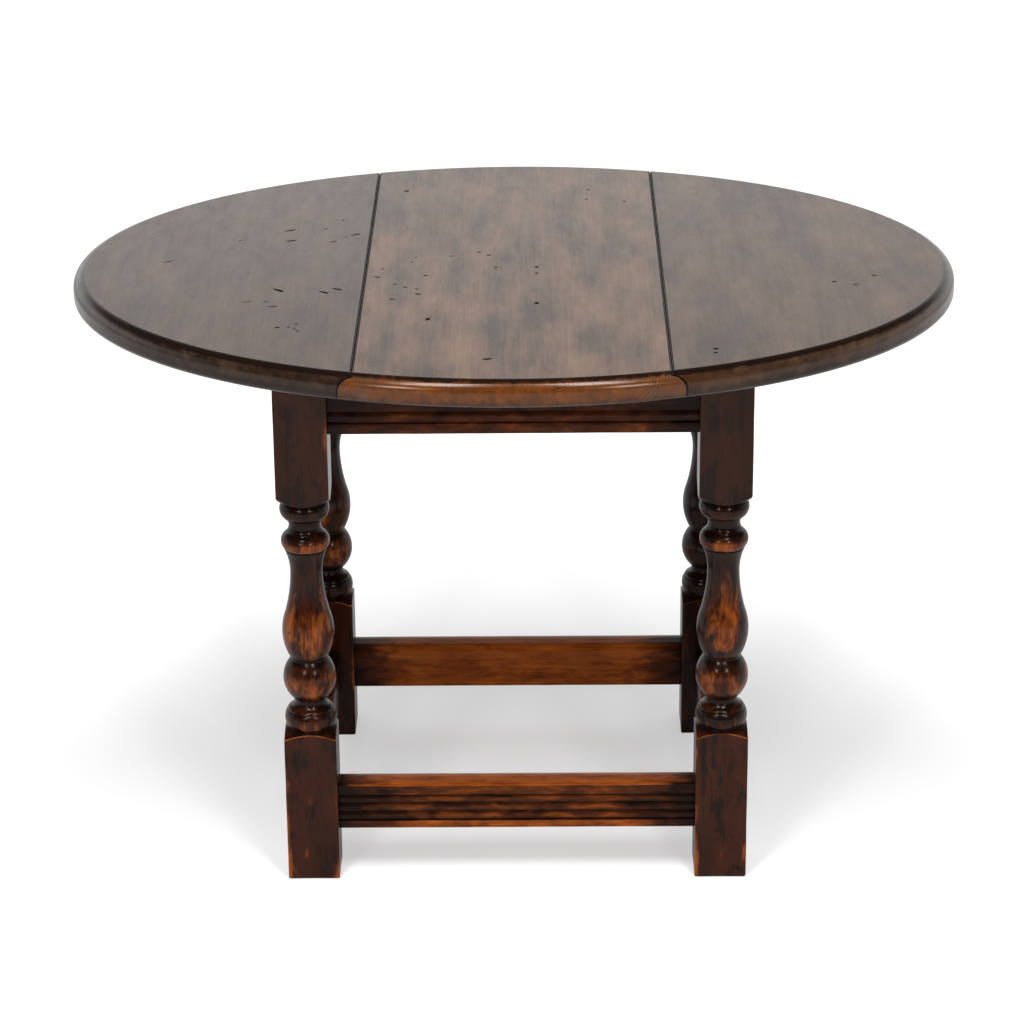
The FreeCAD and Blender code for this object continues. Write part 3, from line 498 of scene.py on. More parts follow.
def member_section(kind):
    """The section of a member, moulded face first."""
    half = MEMBER_THICKNESS / 2
    face = -half
    if kind == "rail":
        height = LEG_HEIGHT - RAIL_BOTTOM
        points = eased_corner(face, 0.0, 1, 1, 0.9)
        points += beads(face, RAIL_BAND, 1, RAIL_BEAD)
        upper = RAIL_BAND + RAIL_BEAD + GROOVE_HALF_WIDTH * 2 + 0.35
        points = [p for p in points if p[1] < upper - 0.4]
        points += [(face + RAIL_FASCIA, upper), (face + RAIL_FASCIA, height - 20),
                   (face + RAIL_FASCIA, height), (half, height)]
    elif kind == "stretcher":
        height = STRETCHER_HEIGHT
        points = eased_corner(face, 0.0, 1, 1, 0.9)
        points += beads(face, STRETCHER_BAND, 3, REED)
        points += [(face, height - 2.4), (face, height - 1.7)]
        points += eased_corner(face, height, 1, -1, 1.1)[::-1]
        points += [(-half * 0.4, height), (half * 0.4, height)]
        points += eased_corner(half, height, -1, -1, 1.1)
    else:
        height, half = BEARER_THICKNESS, BEARER_WIDTH / 2
        points = eased_corner(-half, 0.0, 1, 1, 1.2) + [(-half, height), (half, height)]
    points += eased_corner(half, 0.0, -1, 1, 0.9)[::-1]
    return np.array(points)


def new_tree(name, made, **inputs):
    """A geometry nodes tree with named inputs and one geometry to make, and its inputs."""
    tree = bpy.data.node_groups.new(name, "GeometryNodeTree")
    for key, kind in inputs.items():
        tree.interface.new_socket(key, in_out="INPUT", socket_type=f"NodeSocket{kind}")
    tree.interface.new_socket(made, in_out="OUTPUT", socket_type="NodeSocketGeometry")
    return tree, tree.nodes.new("NodeGroupInput").outputs


def member_tree():
    """Geometry nodes: sweep a section along a straight member and close its ends."""
    tree, given = new_tree("swept_member", "Member", Section="Geometry", Length="Float",
                           Stations="Int", Finish="Material")
    section = add(tree, "GeometryNodeMeshToCurve", {"Mesh": given["Section"]})
    half = add(tree, "ShaderNodeMath", {0: given["Length"], 1: 0.5}, operation="MULTIPLY")
    back = add(tree, "ShaderNodeMath", {0: half, 1: -1.0}, operation="MULTIPLY")
    start = add(tree, "ShaderNodeCombineXYZ", {"X": back})
    end = add(tree, "ShaderNodeCombineXYZ", {"X": half})
    path = add(tree, "GeometryNodeCurvePrimitiveLine", {"Start": start, "End": end})
    path = add(tree, "GeometryNodeResampleCurve", {"Curve": path, "Count": given["Stations"]})
    path = add(tree, "GeometryNodeSetCurveNormal", {"Curve": path}, mode="Z_UP")
    swept = add(tree, "GeometryNodeCurveToMesh", {"Curve": path, "Profile Curve": section,
                                                  "Fill Caps": True})
    swept = add(tree, "GeometryNodeRealizeInstances", {"Geometry": swept})
    swept = add(tree, "GeometryNodeSetMaterial", {"Geometry": swept,
                                                  "Material": given["Finish"]})
    add(tree, "NodeGroupOutput", {"Member": swept})
    return tree


def run_tree(tree, name, mesh, values):
    """Run a tree on a mesh and keep what it makes as a plain mesh."""
    holder = in_scene(f"{name}_making", mesh)
    modifier = holder.modifiers.new(name, "NODES")
    modifier.node_group = tree
    for item in tree.interface.items_tree:
        if item.in_out == "INPUT" and item.name in values:
            modifier[item.identifier] = values[item.name]
    made = made_mesh(holder)
    bpy.data.objects.remove(holder)
    return made


def member_finish(kind, along, across, up, length, dark):
    """How much of each point of a member is rubbed and glazed, and where painted shade darkens
    it.
    """
    half = MEMBER_THICKNESS / 2
    face = across < -half + GROOVE_DEPTH + 0.05
    depth = np.clip((across + half) / GROOVE_DEPTH, 0, 1)
    end = np.clip(1 - (length / 2 - np.abs(along)) / 60.0, 0, 1)
    close = np.clip(1 - (length / 2 - np.abs(along)) / 20.0, 0, 1)
    # In the grooves the black deepens with their depth: glaze, and painted shade.
    if kind == "stretcher":
        on_top = up > STRETCHER_HEIGHT - 1.2
        lip = face & (up < STRETCHER_BAND - 0.2)
        bare = np.where(on_top, 1.0, np.where(face, 0.28 - 0.4 * depth, 0.75))
        bare = np.where(lip, 0.66, bare)
        glazed = np.where(on_top, -0.25, np.where(face, 0.26 + 0.5 * depth, -0.1))
        glazed = np.where(lip, 0.05, glazed)
    else:
        fascia = up > RAIL_BAND + RAIL_BEAD + 1.0
        bare = np.where(face, 0.20 - 0.3 * depth, 0.25)
        glazed = np.where(face, 0.30 + 0.1 * depth, 0.40)
        # The rail's outer fascia, under the overhang of the top, is darkened with painted shade.
        glazed = np.where(fascia & (across < 0), 0.62, glazed)
        bare = np.where(fascia & (across < 0), 0.12, bare)
        end, close = end * 0.5, close * 0.5
    # The inner faces of the side members are made darker: less rubbed, more black.
    inner = ~face & (across > -half + 1.5) & dark
    bare, glazed = bare - 0.6 * inner, glazed + 0.75 * inner
    # Towards the ends, where the member meets the legs, it is darkened with painted shade.
    return bare - 0.9 * end, glazed + 0.7 * end + 0.3 * close


def member_piece(tree, name, kind, length, place, turn, finish):
    section = member_section(kind)
    outline = bpy.data.meshes.new(f"{name}_section")
    count = len(section)
    # The sweep turns a section half round.
    outline.from_pydata([(-y * MM, -z * MM, 0.0) for y, z in section],
                        [(i, (i + 1) % count) for i in range(count)], [])
    stations = int(length / 6.0) + 2
    mesh = run_tree(tree, name, outline, {"Length": length * MM, "Stations": stations,
                                          "Finish": finish})
    co = np.zeros(len(mesh.vertices) * 3)
    mesh.vertices.foreach_get("co", co)
    co = co.reshape(-1, 3) / MM
    bare, glazed = member_finish(kind, co[:, 0], co[:, 1], co[:, 2], length,
                                 turn in (-90, 90))
    faces = [tuple(p.vertices) for p in mesh.polygons]
    bpy.data.meshes.remove(mesh)
    spin = np.radians(turn)
    verts = np.stack([
        place[0] + co[:, 0] * np.cos(spin) - co[:, 1] * np.sin(spin),
        place[1] + co[:, 0] * np.sin(spin) + co[:, 1] * np.cos(spin),
        place[2] + co[:, 2]], axis=1)
    knock = np.array([noise.noise(Vector(v) * 0.05) for v in verts])
    verts[:, 2] += 0.12 * knock
    piece = new_piece(name, verts, faces, [finish], {"rubbed": bare, "glazed": glazed}, 32.0)
    outward(piece)
    return piece


def outward(piece):
    """Turn the faces of a closed piece outwards."""
    shape = bmesh.new()
    shape.from_mesh(piece.data)
    bmesh.ops.remove_doubles(shape, verts=shape.verts, dist=1e-7)
    bmesh.ops.recalc_face_normals(shape, faces=shape.faces)
    shape.to_mesh(piece.data)
    shape.free()
    piece.data.update()


# Boards of the top

def rim_point(turn, inset):
    """Points of the oval rim, moved inwards square to the rim."""
    a, b = TOP_LENGTH / 2, TOP_WIDTH / 2
    c, s = np.cos(turn), np.sin(turn)
    size = np.hypot(b * c, a * s)
    return a * c - inset * b * c / size, b * s - inset * a * s / size


def rim_turn(x, inset):
    """Where along the back half of the rim it crosses a line across the table."""
    low, high = 0.0, math.pi
    for _ in range(50):
        middle = (low + high) / 2
        if rim_point(middle, inset)[0] > x:
            low = middle
        else:
            high = middle
    return (low + high) / 2


def joint_reach(z, leaf):
    """Distance of the rule joint's surface from the middle of the table at a height."""
    radius = JOINT_RADIUS + (JOINT_CLEARANCE if leaf else 0.0)
    inner = JOINT_GAP if leaf else 0.0
    rise = z - PIN_HEIGHT
    if rise <= 0:
        out = radius
    elif rise >= radius:
        out = inner
    else:
        out = max(inner, math.sqrt(radius ** 2 - rise ** 2))
    sign = -1.0 if leaf else 1.0
    over = max(0.0, z - (TOP_THICKNESS - ARRIS)) + max(0.0, ARRIS - z)
    return JOINT_LINE + out - sign * (ARRIS - math.sqrt(max(0.0, ARRIS ** 2 - over ** 2)))


def edge_rows():
    """Height and inset of the rounded edge, from the underside up to the flat of the top."""
    rows = [(0.0, EDGE_UNDER_ROUND + 1.0)]
    for i in range(8):
        turn = math.pi / 2 * i / 8
        rows.append((EDGE_UNDER_ROUND * (1 - math.cos(turn)),
                     EDGE_UNDER_ROUND * (1 - math.sin(turn))))
    centre = TOP_THICKNESS - EDGE_ROUND
    rows += [(z, 0.0) for z in (5.0, 6.2, 7.5, 8.5, 9.5, 10.5, 11.3)]
    for i in range(29):
        turn = math.pi / 2 * i / 28
        rows.append((centre + EDGE_ROUND * math.sin(turn), EDGE_ROUND * (1 - math.cos(turn))))
    rows.append((TOP_THICKNESS, EDGE_ROUND + 1.2))
    return rows


def spread(start, end, count, step):
    """Even turns from start to end, closer at both ends, where a dark line needs them."""
    near = np.array([0.5, 1.0, 1.5]) * step
    middle = np.linspace(start, end, count)[1:-1]
    return np.concatenate([[start], start + near, middle, end - near[::-1], [end]])


def board_ring(z, inset, side, leaf):
    """The outline of a board at one height: the rim part and the joint part."""
    reach = joint_reach(z, leaf)
    # On the flat the last outline keeps off the joint too, so that the dark line ends there.
    if inset > EDGE_ROUND:
        reach += JOINT_BORDER if leaf else -JOINT_BORDER
    corner = rim_turn(reach, inset)
    start, end, count = (-corner, corner, 285) if leaf else (corner, math.pi - corner, 175)
    x, y = rim_point(spread(start, end, count, 1.0 / (TOP_LENGTH / 2)), inset)
    line = np.linspace(y[-1] - RIM_NICK, RIM_NICK - y[-1], 41)
    joint = np.full(len(line), reach)
    rim = np.concatenate([np.ones(len(x)), np.zeros(len(line))])
    if not leaf:
        return (np.concatenate([x, -joint, -x, joint]), np.concatenate([y, line, -y, -line]),
                np.tile(rim, 2))
    xs, ys = np.concatenate([x, joint]), np.concatenate([y, line])
    return (-xs[::-1], ys[::-1], rim[::-1]) if side < 0 else (xs, ys, rim)


# Patches of dents in the top: middle, reach either way, how many, and the length, width and
# direction of a dent. Millimetres and degrees.
DENT_PATCHES = (
    # x, y, reach x, reach y, dents, length, width, way
    (-300, 10, 0, 0, 1, 12, 2.0, 40),
    (-170, 80, 30, 20, 4, 10, 2.6, 28),
    (-170, -70, 40, 10, 3, 13, 3.8, -40),
    (-220, -110, 20, 10, 3, 8, 2.0, 15),
    (-190, -170, 20, 10, 5, 4, 2.8, 20),
    (-200, 60, 70, 70, 4, 3, 2.2, 10),
    (-100, -60, 20, 50, 7, 5, 2.6, -20),
    (-60, 0, 50, 40, 7, 4, 2.4, 20),
    (20, -20, 0, 10, 2, 4, 3.2, 80),
    (20, -110, 0, 0, 1, 6, 3.8, 80),
    (-70, -150, 0, 0, 1, 6, 3.5, 60),
    (-20, -250, 0, 0, 1, 7, 3.5, 20),
    (-100, 220, 0, 0, 1, 4, 4.0, 0),
    (80, 210, 30, 40, 3, 4, 3.0, 0),
    (290, -50, 20, 20, 3, 5, 2.8, 20),
    (160, -230, 10, 10, 2, 4, 3.6, 10),
)


def scattered_dents():
    """Dents as x, y, length, width and direction, clear of one another and of the joints."""
    draw = np.random.default_rng(6)
    dents = []
    for x, y, reach_x, reach_y, count, length, width, way in DENT_PATCHES:
        for _ in range(count):
            for _ in range(40):
                side, depth, grow, swing = draw.uniform(-1, 1, 4)
                long = length * (1 + 0.25 * grow)
                here = (x + reach_x * side, y + reach_y * depth)
                clear = all(math.dist(here, d[:2]) > (long + d[2]) / 2 + 2 for d in dents)
                if clear and abs(abs(here[0]) - JOINT_LINE) > long / 2 + 4:
                    dents.append((*here, long, width * (1 + 0.2 * grow), way + 12 * swing))
                    break
    return dents


DENTS = scattered_dents()
DENT_SIDES = 10


def dent_outline(dent):
    """The rim of a dent: a pointed oval, a little lopsided."""
    x, y, length, width, way = dent
    turns = np.linspace(0, 2 * math.pi, DENT_SIDES, endpoint=False)
    along = length / 2 * np.cos(turns)
    across = width / 2 * np.sin(turns) * (1 + 0.25 * np.cos(turns))
    c, s = math.cos(math.radians(way)), math.sin(math.radians(way))
    return np.stack([x + along * c - across * s, y + along * s + across * c], axis=1)


def board_piece(name, side, leaf, finish, wax, edge_bare, edge_glazed):
    rows = edge_rows()
    verts, bare, glazed = [], [], []
    for z, inset in rows:
        xs, ys, rim = board_ring(z, inset, side, leaf)
        columns = len(xs)
        verts += [(x, y, TOP_UNDERSIDE + z) for x, y in zip(xs, ys)]
        # How far up the rounded edge, how near the flat, and how far down the underside. High on
        # the rounded edge, by the arris, the black paints the dark reflection band; low down it
        # paints the shade of the rounded edge.
        upper = max(0.0, min(1.0, (z - 18.8) / 2.4))
        flat = inset > 9.7 and z > 21
        under = max(0.0, min(1.0, (10.0 - z) / 8.0))
        on_rim = edge_glazed + 0.85 * upper + 0.5 * under
        on_rim = np.full(columns, UNGLAZED if flat else on_rim)
        # The glaze settles along the joint, within about a millimetre of it.
        close = np.minimum(np.abs(np.abs(xs) - joint_reach(z, leaf)), 3.0)
        on_rim = on_rim + 1.2 * np.clip(1.3 - close, 0.0, 1.0) * (not flat)
        inner = inset > EDGE_ROUND
        glazed.append(np.where(rim > 0, on_rim, UNGLAZED if inner else 1.5))
        # The edge is rubbed most in the middle of the front and the back.
        fade = np.minimum(np.abs(xs) / JOINT_LINE, 1.8)
        # By the arris and low down the amber is held back too: painted dark reflection and
        # painted shade.
        on_rim = 0.0 if flat else edge_bare - 0.5 * upper - 0.3 * under - 0.45 * fade ** 2
        bare.append(np.where(rim > 0, on_rim, 0.0 if inner else -0.4))
    beside_joint = (rim == 0) & (np.roll(rim, -1) == 0)
    faces = skin(len(rows), columns)
    faces.append(tuple(range(columns))[::-1])
    start = (len(rows) - 1) * columns
    # The flat of the top is a lid with the dents left open.
    mine = [d for d in DENTS if (d[0] < -JOINT_LINE) == (side < 0)
            and (d[0] > JOINT_LINE) == (side > 0)]
    points = [Vector(v[:2]) for v in verts[start:]]
    edges = [(i, (i + 1) % columns) for i in range(columns)]
    for dent in mine:
        first = len(points)
        points += [Vector(p) for p in dent_outline(dent)]
        edges += [(first + i, first + (i + 1) % DENT_SIDES) for i in range(DENT_SIDES)]
    points, _, cells, origin, _, _ = geometry.delaunay_2d_cdt(points, edges, [], 1, 1e-5)
    top = TOP_UNDERSIDE + TOP_THICKNESS
    index, dent_of, where = [], {}, {}
    for i, (point, sources) in enumerate(zip(points, origin)):
        on_rim = [source for source in sources if source < columns]
        if on_rim:
            index.append(start + on_rim[0])
        else:
            index.append(len(verts))
            verts.append((point[0], point[1], top))
        for source in sources:
            where[source] = index[i]
            if source >= columns:
                dent_of[i] = (source - columns) // DENT_SIDES
    for cell in cells:
        owners = {dent_of.get(i) for i in cell}
        if None in owners or len(owners) > 1:
            faces.append(tuple(index[i] for i in cell))
    slots = [0] * len(faces)
    # Along the rule joint the arris is filled with black wax.
    for i in np.flatnonzero(beside_joint):
        slots[(len(rows) - 2) * columns + i] = 1
    for k, (x, y, _, width, _) in enumerate(mine):
        ring = [where[columns + k * DENT_SIDES + i] for i in range(DENT_SIDES)]
        inner = len(verts)
        depth = 0.22 + 0.16 * width
        verts += [(x + (verts[v][0] - x) * 0.62, y + (verts[v][1] - y) * 0.62, top - depth)
                  for v in ring]
        for i in range(DENT_SIDES):
            j = (i + 1) % DENT_SIDES
            faces.append((ring[i], ring[j], inner + j, inner + i))
        faces.append(tuple(range(inner, inner + DENT_SIDES)))
    slots += [1] * (len(faces) - len(slots))
    more = len(verts) - len(rows) * columns
    piece = new_piece(name, verts, faces, [finish, wax],
                      {"rubbed": np.concatenate(bare + [np.zeros(more)]),
                       "glazed": np.concatenate(glazed + [np.full(more, UNGLAZED)])}, 30.0)
    piece.data.polygons.foreach_set("material_index", slots)
    piece.data.update()
    return piece


def recess_block(low, high):
    x0, y0, z0 = low
    x1, y1, z1 = high
    corners = [(x, y, z) for x in (x0, x1) for y in (y0, y1) for z in (z0, z1)]
    sides = [(0, 1, 3, 2), (4, 6, 7, 5), (0, 4, 5, 1), (2, 3, 7, 6), (0, 2, 6, 4), (1, 5, 7, 3)]
    return corners, sides


def cut_out(piece, cutter, nested):
    """Take a cutter out of a piece for good. nested says that its parts may overlap."""
    outward(cutter)
    modifier = piece.modifiers.new("cut", "BOOLEAN")
    modifier.object = cutter
    modifier.operation = "DIFFERENCE"
    modifier.solver = "EXACT"
    modifier.use_self = nested
    made = made_mesh(piece)
    piece.modifiers.clear()
    old, piece.data = piece.data, made
    bpy.data.meshes.remove(old)
    bpy.data.objects.remove(cutter)


def cut_recesses(piece, blocks, discs):
    """Sink the hinges and the pivot plate into the underside of a board."""
    verts, faces = [], []
    for low, high in blocks:
        corners, sides = recess_block(low, high)
        faces += [tuple(i + len(verts) for i in f) for f in sides]
        verts += corners
    for x, y, radius, low, high in discs:
        turns = np.linspace(0, 2 * math.pi, 48, endpoint=False)
        first = len(verts)
        verts += [(x + radius * math.cos(t), y + radius * math.sin(t), z)
                  for z in (low, high) for t in turns]
        faces += skin(2, 48, first)
        faces += [tuple(range(first, first + 48))[::-1], tuple(range(first + 48, first + 96))]
    cut_out(piece, new_piece(f"{piece.name}_cutter", verts, faces, []), True)
    piece.data.set_sharp_from_angle(angle=math.radians(30.0))
    # The flat of the board and the sides of the dents are shaded flat.
    for polygon in piece.data.polygons:
        if polygon.material_index == 1 or polygon.normal.z > 0.99999:
            polygon.use_smooth = False
    piece.data.update()


def hinge_blocks(side_x, side_y, leaf):
    """The housing of one hinge in a board, as blocks."""
    y = HINGE_POSITION * side_y
    half = HINGE_WIDTH / 2
    wall = JOINT_RADIUS + JOINT_CLEARANCE
    spans = [(-SHORT_FLAP, 0.0, FLAP_THICKNESS),
             (-KNUCKLE_ROOM, KNUCKLE_ROOM, PIN_HEIGHT + KNUCKLE_ROOM),
             (0.0, wall + 1, FLAP_THICKNESS + 1.2)]
    if leaf:
        spans = [(wall - 1, LONG_FLAP, FLAP_THICKNESS)]
    blocks = []
    for near, far, top in spans:
        a, b = sorted(((JOINT_LINE + near) * side_x, (JOINT_LINE + far) * side_x))
        blocks.append(((a, y - half, TOP_UNDERSIDE - 1), (b, y + half, TOP_UNDERSIDE + top)))
    return blocks


# Screws

def screw_tree():
    """Geometry nodes: set a screw upright on each point of a mesh."""
    tree, given = new_tree("driven_screws", "Screws", Places="Geometry", Screw="Object",
                           Seed="Int", Finish="Material")
    screw = add(tree, "GeometryNodeObjectInfo", {"Object": given["Screw"]}, out="Geometry")
    # No two slots end up in line.
    spin = add(tree, "FunctionNodeRandomValue", {2: 0.0, 3: math.pi, "Seed": given["Seed"]},
               out=1, data_type="FLOAT")
    spin = add(tree, "ShaderNodeCombineXYZ", {"Z": spin})
    driven = add(tree, "GeometryNodeInstanceOnPoints", {
        "Points": given["Places"], "Instance": screw, "Rotation": spin})
    driven = add(tree, "GeometryNodeRealizeInstances", {"Geometry": driven})
    driven = add(tree, "GeometryNodeSetMaterial", {"Geometry": driven,
                                                   "Material": given["Finish"]})
    add(tree, "NodeGroupOutput", {"Screws": driven})
    return tree


def screw_shape():
    """One slotted countersunk screw, head down at the origin, in metres."""
    rings = [(SCREW_HEAD - 0.25, 0.0), (SCREW_HEAD, 0.22), (SCREW_SHANK, SCREW_SINK),
             (SCREW_SHANK, SCREW_LENGTH - 2.0), (0.3, SCREW_LENGTH)]
    turns = np.linspace(0, 2 * math.pi, 28, endpoint=False)
    verts = [(r * math.cos(t), r * math.sin(t), z) for r, z in rings for t in turns]
    faces = skin(len(rings), 28)
    faces += [tuple(range(28))[::-1], tuple(range(len(verts) - 28, len(verts)))]
    screw = new_piece("screw_shape", verts, faces, [])
    half = SCREW_SLOT_WIDTH / 2
    slot = recess_block((-5, -half, -1), (5, half, SCREW_SLOT_DEPTH))
    cut_out(screw, new_piece("screw_slot", *slot, []), False)
    return screw


def screw_places():
    """Where the screws go, by the board they are driven into."""
    reach = PLATE_SCREW_CIRCLE * math.sqrt(0.5)
    places = {"centre": [], "left": [], "right": [],
              "plate": [(reach * a, reach * b) for a in (-1, 1) for b in (-1, 1)]}
    for side_x, leaf in ((-1, "left"), (1, "right")):
        for side_y in (-1, 1):
            for board, near, far in (("centre", -13, -23), (leaf, 26, 42)):
                for out, along in ((near, -12), (near, 12), (far, 0)):
                    places[board].append(((JOINT_LINE + out) * side_x,
                                          HINGE_POSITION * side_y + along * side_x))
    return places


# Stage

def set_stage():
    """A pale floor that keeps the table's shadow, soft lamps and a white room."""
    size = 14.0
    mesh = bpy.data.meshes.new("floor")
    mesh.from_pydata([(-size, -size, 0), (size, -size, 0), (size, size, 0), (-size, size, 0)],
                     [], [(0, 1, 2, 3)])
    floor = in_scene("floor", mesh)
    finish, tree = new_finish("pale_floor")
    path = tree.nodes.new("ShaderNodeLightPath").outputs
    shown = add(tree, "ShaderNodeMath", {0: path["Is Camera Ray"],
                                         1: path["Is Transmission Ray"]},
                operation="MAXIMUM")
    shown = add(tree, "ShaderNodeMath", {0: path["Is Glossy Ray"], 1: 0.35, 2: shown},
                operation="MULTIPLY_ADD")
    # The floor's glow is least in front of and under the table and rises away from it, most
    # behind it: painted light, so that behind the table the floor runs out into plain white.
    spot = add(tree, "ShaderNodeTexCoord", out="Object")
    spot = add(tree, "ShaderNodeMapping", {"Vector": spot, "Location": (0.0, 0.25, 0.0)})
    painted_floor_light = add(tree, "ShaderNodeVectorMath", {0: spot}, out="Value", operation="LENGTH")
    painted_floor_light = add(tree, "ShaderNodeMapRange", {"Value": painted_floor_light, "From Min": 0.46, "From Max": 0.80,
                                            "To Min": 0.44, "To Max": 0.74},
               interpolation_type="SMOOTHSTEP")
    lift = add(tree, "ShaderNodeMath", {0: shown, 1: painted_floor_light}, operation="MULTIPLY")
    matt = add(tree, "ShaderNodeBsdfDiffuse", {"Color": colour("#d6d6d6")})
    glow = add(tree, "ShaderNodeEmission", {"Color": (1.0, 1.0, 1.0, 1.0), "Strength": lift})
    both = add(tree, "ShaderNodeAddShader", {0: matt, 1: glow})
    add(tree, "ShaderNodeOutputMaterial", {"Surface": both})
    mesh.materials.append(finish)

    world = bpy.data.worlds.new("white_room")
    bpy.context.scene.world = world
    world.use_nodes = True
    tree = world.node_tree
    tree.nodes.clear()
    # The room is white low down, at the back and the sides, and dim above and in front.
    ray = tree.nodes.new("ShaderNodeLightPath").outputs
    way = add(tree, "ShaderNodeTexCoord", out="Generated")
    way = add(tree, "ShaderNodeSeparateXYZ", {0: way}, out=2).node.outputs
    shine = 0.94
    for axis, start, end, first, last, blend in (
            ("Z", 0.29, 0.46, 1.0, 0.0, "SMOOTHSTEP"), ("Y", -0.5, 0.1, 0.0, 1.0, "SMOOTHSTEP"),
            ("X", -0.3, 0.3, 1.0, 0.86, "LINEAR")):
        share = add(tree, "ShaderNodeMapRange", {
            "Value": way[axis], "From Min": start, "From Max": end, "To Min": first,
            "To Max": last}, interpolation_type=blend)
        shine = add(tree, "ShaderNodeMath", {0: share, 1: shine}, operation="MULTIPLY")
    shine = add(tree, "ShaderNodeMath", {0: shine, 1: 0.06}, operation="ADD")
    strength = add(tree, "ShaderNodeMix", {0: ray["Is Glossy Ray"], 2: 0.42, 3: shine})
    seen = add(tree, "ShaderNodeMath", {0: ray["Is Camera Ray"],
                                        1: ray["Is Transmission Ray"]}, operation="MAXIMUM")
    strength = add(tree, "ShaderNodeMix", {0: seen, 2: strength, 3: 1.0})
    sky = add(tree, "ShaderNodeBackground", {"Color": (1.0, 1.0, 1.0, 1.0),
                                             "Strength": strength})
    add(tree, "ShaderNodeOutputWorld", {"Surface": sky})

    for kind, out, ahead, height, size_x, size_y, power in (
            ("window", 0.98, -2.2, 1.25, 0.30, 0.50, 8.0),
            ("lamp", 0.50, -1.25, 2.5, 0.42, 1.1, 27.0)):
        for hand, side in (("left", -1), ("right", 1)):
            name = f"{kind}_{hand}"
            lamp = bpy.data.lights.new(name, "AREA")
            lamp.shape = "RECTANGLE"
            lamp.size, lamp.size_y, lamp.energy = size_x, size_y, power
            holder = in_scene(name, lamp)
            holder.location = (out * side, ahead, height)
            holder.visible_camera = False
            aim = Vector((0.0, 0.0, 0.35)) - holder.location
            holder.rotation_euler = aim.to_track_quat("-Z", "Y").to_euler()


def set_camera():
    """A long lens that looks down on the table from in front, leaned a hair to one side."""
    pitch, yaw, roll = 0.3818, -0.00835, -0.0087
    ahead = Vector((math.sin(yaw) * math.cos(pitch), math.cos(yaw) * math.cos(pitch),
                    -math.sin(pitch)))
    right = ahead.cross(Vector((0, 0, 1))).normalized()
    up = right.cross(ahead)
    leaned = right * math.cos(roll) + up * math.sin(roll)
    up = up * math.cos(roll) - right * math.sin(roll)
    data = bpy.data.cameras.new("camera")
    data.sensor_width, data.lens = 36.0, 121.41
    data.clip_start, data.clip_end = 0.1, 60.0
    camera = in_scene("camera", data)
    turned = Matrix((leaned, up, -ahead)).transposed().to_4x4()
    camera.matrix_world = Matrix.Translation((0.0207, -2.8541, 1.4238)) @ turned
    bpy.context.scene.camera = camera


# Make the table

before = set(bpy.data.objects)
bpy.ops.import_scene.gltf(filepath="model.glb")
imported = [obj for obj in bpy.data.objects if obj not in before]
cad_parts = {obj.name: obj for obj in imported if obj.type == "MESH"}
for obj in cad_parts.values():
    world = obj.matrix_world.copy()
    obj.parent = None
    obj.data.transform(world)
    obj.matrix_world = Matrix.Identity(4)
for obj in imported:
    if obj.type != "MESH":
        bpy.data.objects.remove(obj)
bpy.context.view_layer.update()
bpy.context.scene.view_settings.view_transform = "Standard"
set_stage()
set_camera()

RAIL_LOOK = {"stain": ("#2f1408", "#552914"), "rubbed": ("#79330b", "#ad5a1e"), "shine": 0.28,
             "coat": 0.18, "index": 1.14, "figure": 0.7, "soften": 0.5}
BOARD_LOOK = {"shine": 0.25, "coat": 0.55, "index": 1.3, "figure": 0.6, "worn": 0.4,
              "soften": 0.4}
leg_oak = antiqued_oak("leg_oak", ALONG_Z, (30.0, -40.0), ("#280f05", "#411c0c"),
                       ("#6c2f0e", "#a0541f"), index=1.22, figure=0.6)
rail_oak = antiqued_oak("rail_oak_lengthwise", ALONG_X, (12.0, 60.0), **RAIL_LOOK)
side_oak = antiqued_oak("rail_oak_crosswise", ALONG_Y, (40.0, 60.0), **RAIL_LOOK)
top_oak = antiqued_oak("top_oak_middle", ALONG_Y, (6.0, -575.0), ("#33231a", "#74553f"),
                       ("#4c270c", "#7c4416"), cloud=1.4, hatching=0.85, **BOARD_LOOK)
left_oak = antiqued_oak("top_oak_left", ALONG_Y, (-330.0, -380.0), ("#30221b", "#594233"),
                        ("#2c170c", "#412512"), cloud=1.0, hatching=0.1, **BOARD_LOOK)
right_oak = antiqued_oak("top_oak_right", ALONG_Y, (250.0, -350.0), ("#312119", "#5f4531"),
                         ("#3a1d0b", "#573013"), cloud=1.2, hatching=0.25, **BOARD_LOOK)
wax = black_wax()
brass = tarnished_metal("aged_brass", "#a98548", "#5d4724", 0.34)
steel = tarnished_metal("bare_steel", "#a2a3a6", "#6c6a68", 0.32)

for end, hand, side_x, side_y, leg_darkening in (
        ("front", "left", -1, -1, 0.02), ("front", "right", 1, -1, 0.16),
        ("rear", "left", -1, 1, 0.25), ("rear", "right", 1, 1, 1.1)):
    name = f"leg_{end}_{hand}"
    seed = 11.0 + side_x * 2.0 + side_y * 5.0
    piece = leg_piece(f"turned_{name}", side_x, side_y, leg_oak, seed, leg_darkening)
    hand_in(piece, "base", "oak_base", name)

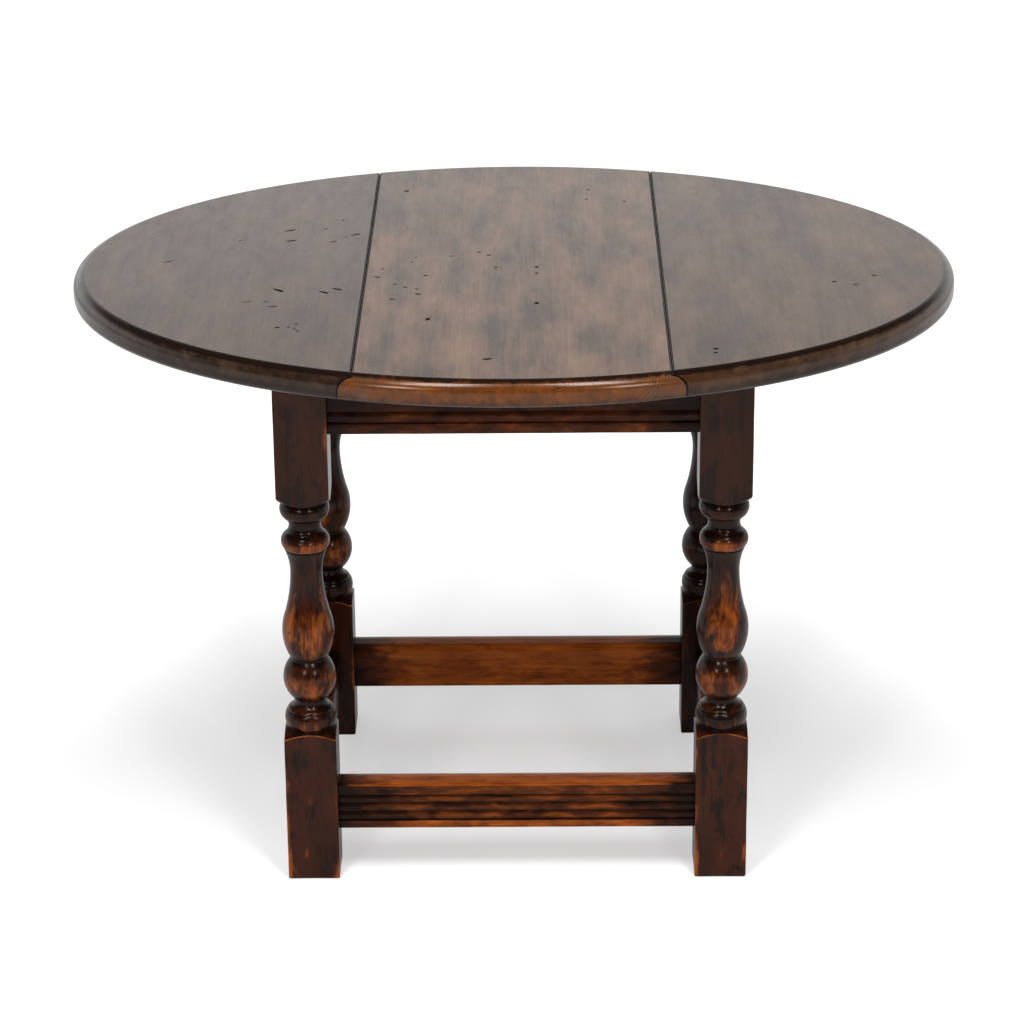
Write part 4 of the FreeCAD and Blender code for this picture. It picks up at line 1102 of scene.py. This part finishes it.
sweep = member_tree()
inset = MEMBER_SETBACK + MEMBER_THICKNESS / 2
deep, wide = BASE_WIDTH / 2 - inset, BASE_LENGTH / 2 - inset
long_side, short_side = BASE_LENGTH - 2 * LEG_SQUARE, BASE_WIDTH - 2 * LEG_SQUARE
for kind, bottom in (("rail", RAIL_BOTTOM), ("stretcher", STRETCHER_BOTTOM)):
    for where, length, x, y, turn, finish in (
            ("front", long_side, 0, -deep, 0, rail_oak),
            ("rear", long_side, 0, deep, 180, rail_oak),
            ("left", short_side, -wide, 0, -90, side_oak),
            ("right", short_side, wide, 0, 90, side_oak)):
        name = f"{kind}_{where}"
        piece = member_piece(sweep, f"moulded_{name}", kind, length, (x, y, bottom), turn,
                             finish)
        hand_in(piece, "base", "oak_base", name)
reach = BASE_LENGTH / 2 - MEMBER_SETBACK - MEMBER_THICKNESS + BEARER_HOUSING
piece = member_piece(sweep, "sawn_bearer", "bearer", reach * 2,
                     (0, 0, LEG_HEIGHT - BEARER_THICKNESS), 0, rail_oak)
hand_in(piece, "base", "oak_base", "pivot_bearer")

for name, body, node, side, leaf, finish, bare, glazed in (
        ("board_middle", "top", "top_centre_board", 0, False, top_oak, 1.15, 0.1),
        ("board_left", "leaf_left", "leaf_left", -1, True, left_oak, 0.9, 0.62),
        ("board_right", "leaf_right", "leaf_right", 1, True, right_oak, 1.2, 0.42)):
    piece = board_piece(name, side, leaf, finish, wax, bare, glazed)
    blocks, discs = [], []
    for side_x in (side,) if leaf else (-1, 1):
        for side_y in (-1, 1):
            blocks += hinge_blocks(side_x, side_y, leaf)
    if not leaf:
        discs.append((0, 0, PLATE_RADIUS, TOP_UNDERSIDE - 1, TOP_UNDERSIDE + PLATE_THICKNESS))
    cut_recesses(piece, blocks, discs)
    hand_in(piece, body, "oak_top", node)

driver, screw = screw_tree(), screw_shape()
for key, body, node, finish, slot in (
        ("centre", "top", "hinge_screws_centre", brass, "brass_screw"),
        ("left", "leaf_left", "hinge_screws_left", brass, "brass_screw"),
        ("right", "leaf_right", "hinge_screws_right", brass, "brass_screw"),
        ("plate", "top", "pivot_plate_screws", steel, "pivot_steel")):
    points = bpy.data.meshes.new(f"screw_places_{key}")
    points.from_pydata([(x * MM, y * MM, (TOP_UNDERSIDE + 0.02) * MM)
                        for x, y in screw_places()[key]], [], [])
    made = run_tree(driver, f"screws_{key}", points, {"Screw": screw, "Seed": 4,
                                                      "Finish": finish})
    piece = in_scene(f"screws_{key}", made)
    made.set_sharp_from_angle(angle=math.radians(30.0))
    hand_in(piece, body, slot, node)
bpy.data.objects.remove(screw)

for name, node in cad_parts.items():
    if node.hide_render:
        continue
    finish = brass if name.startswith("hinge") else steel
    if name == "stop_peg":
        finish = rail_oak
    node.data.materials.clear()
    node.data.materials.append(finish)
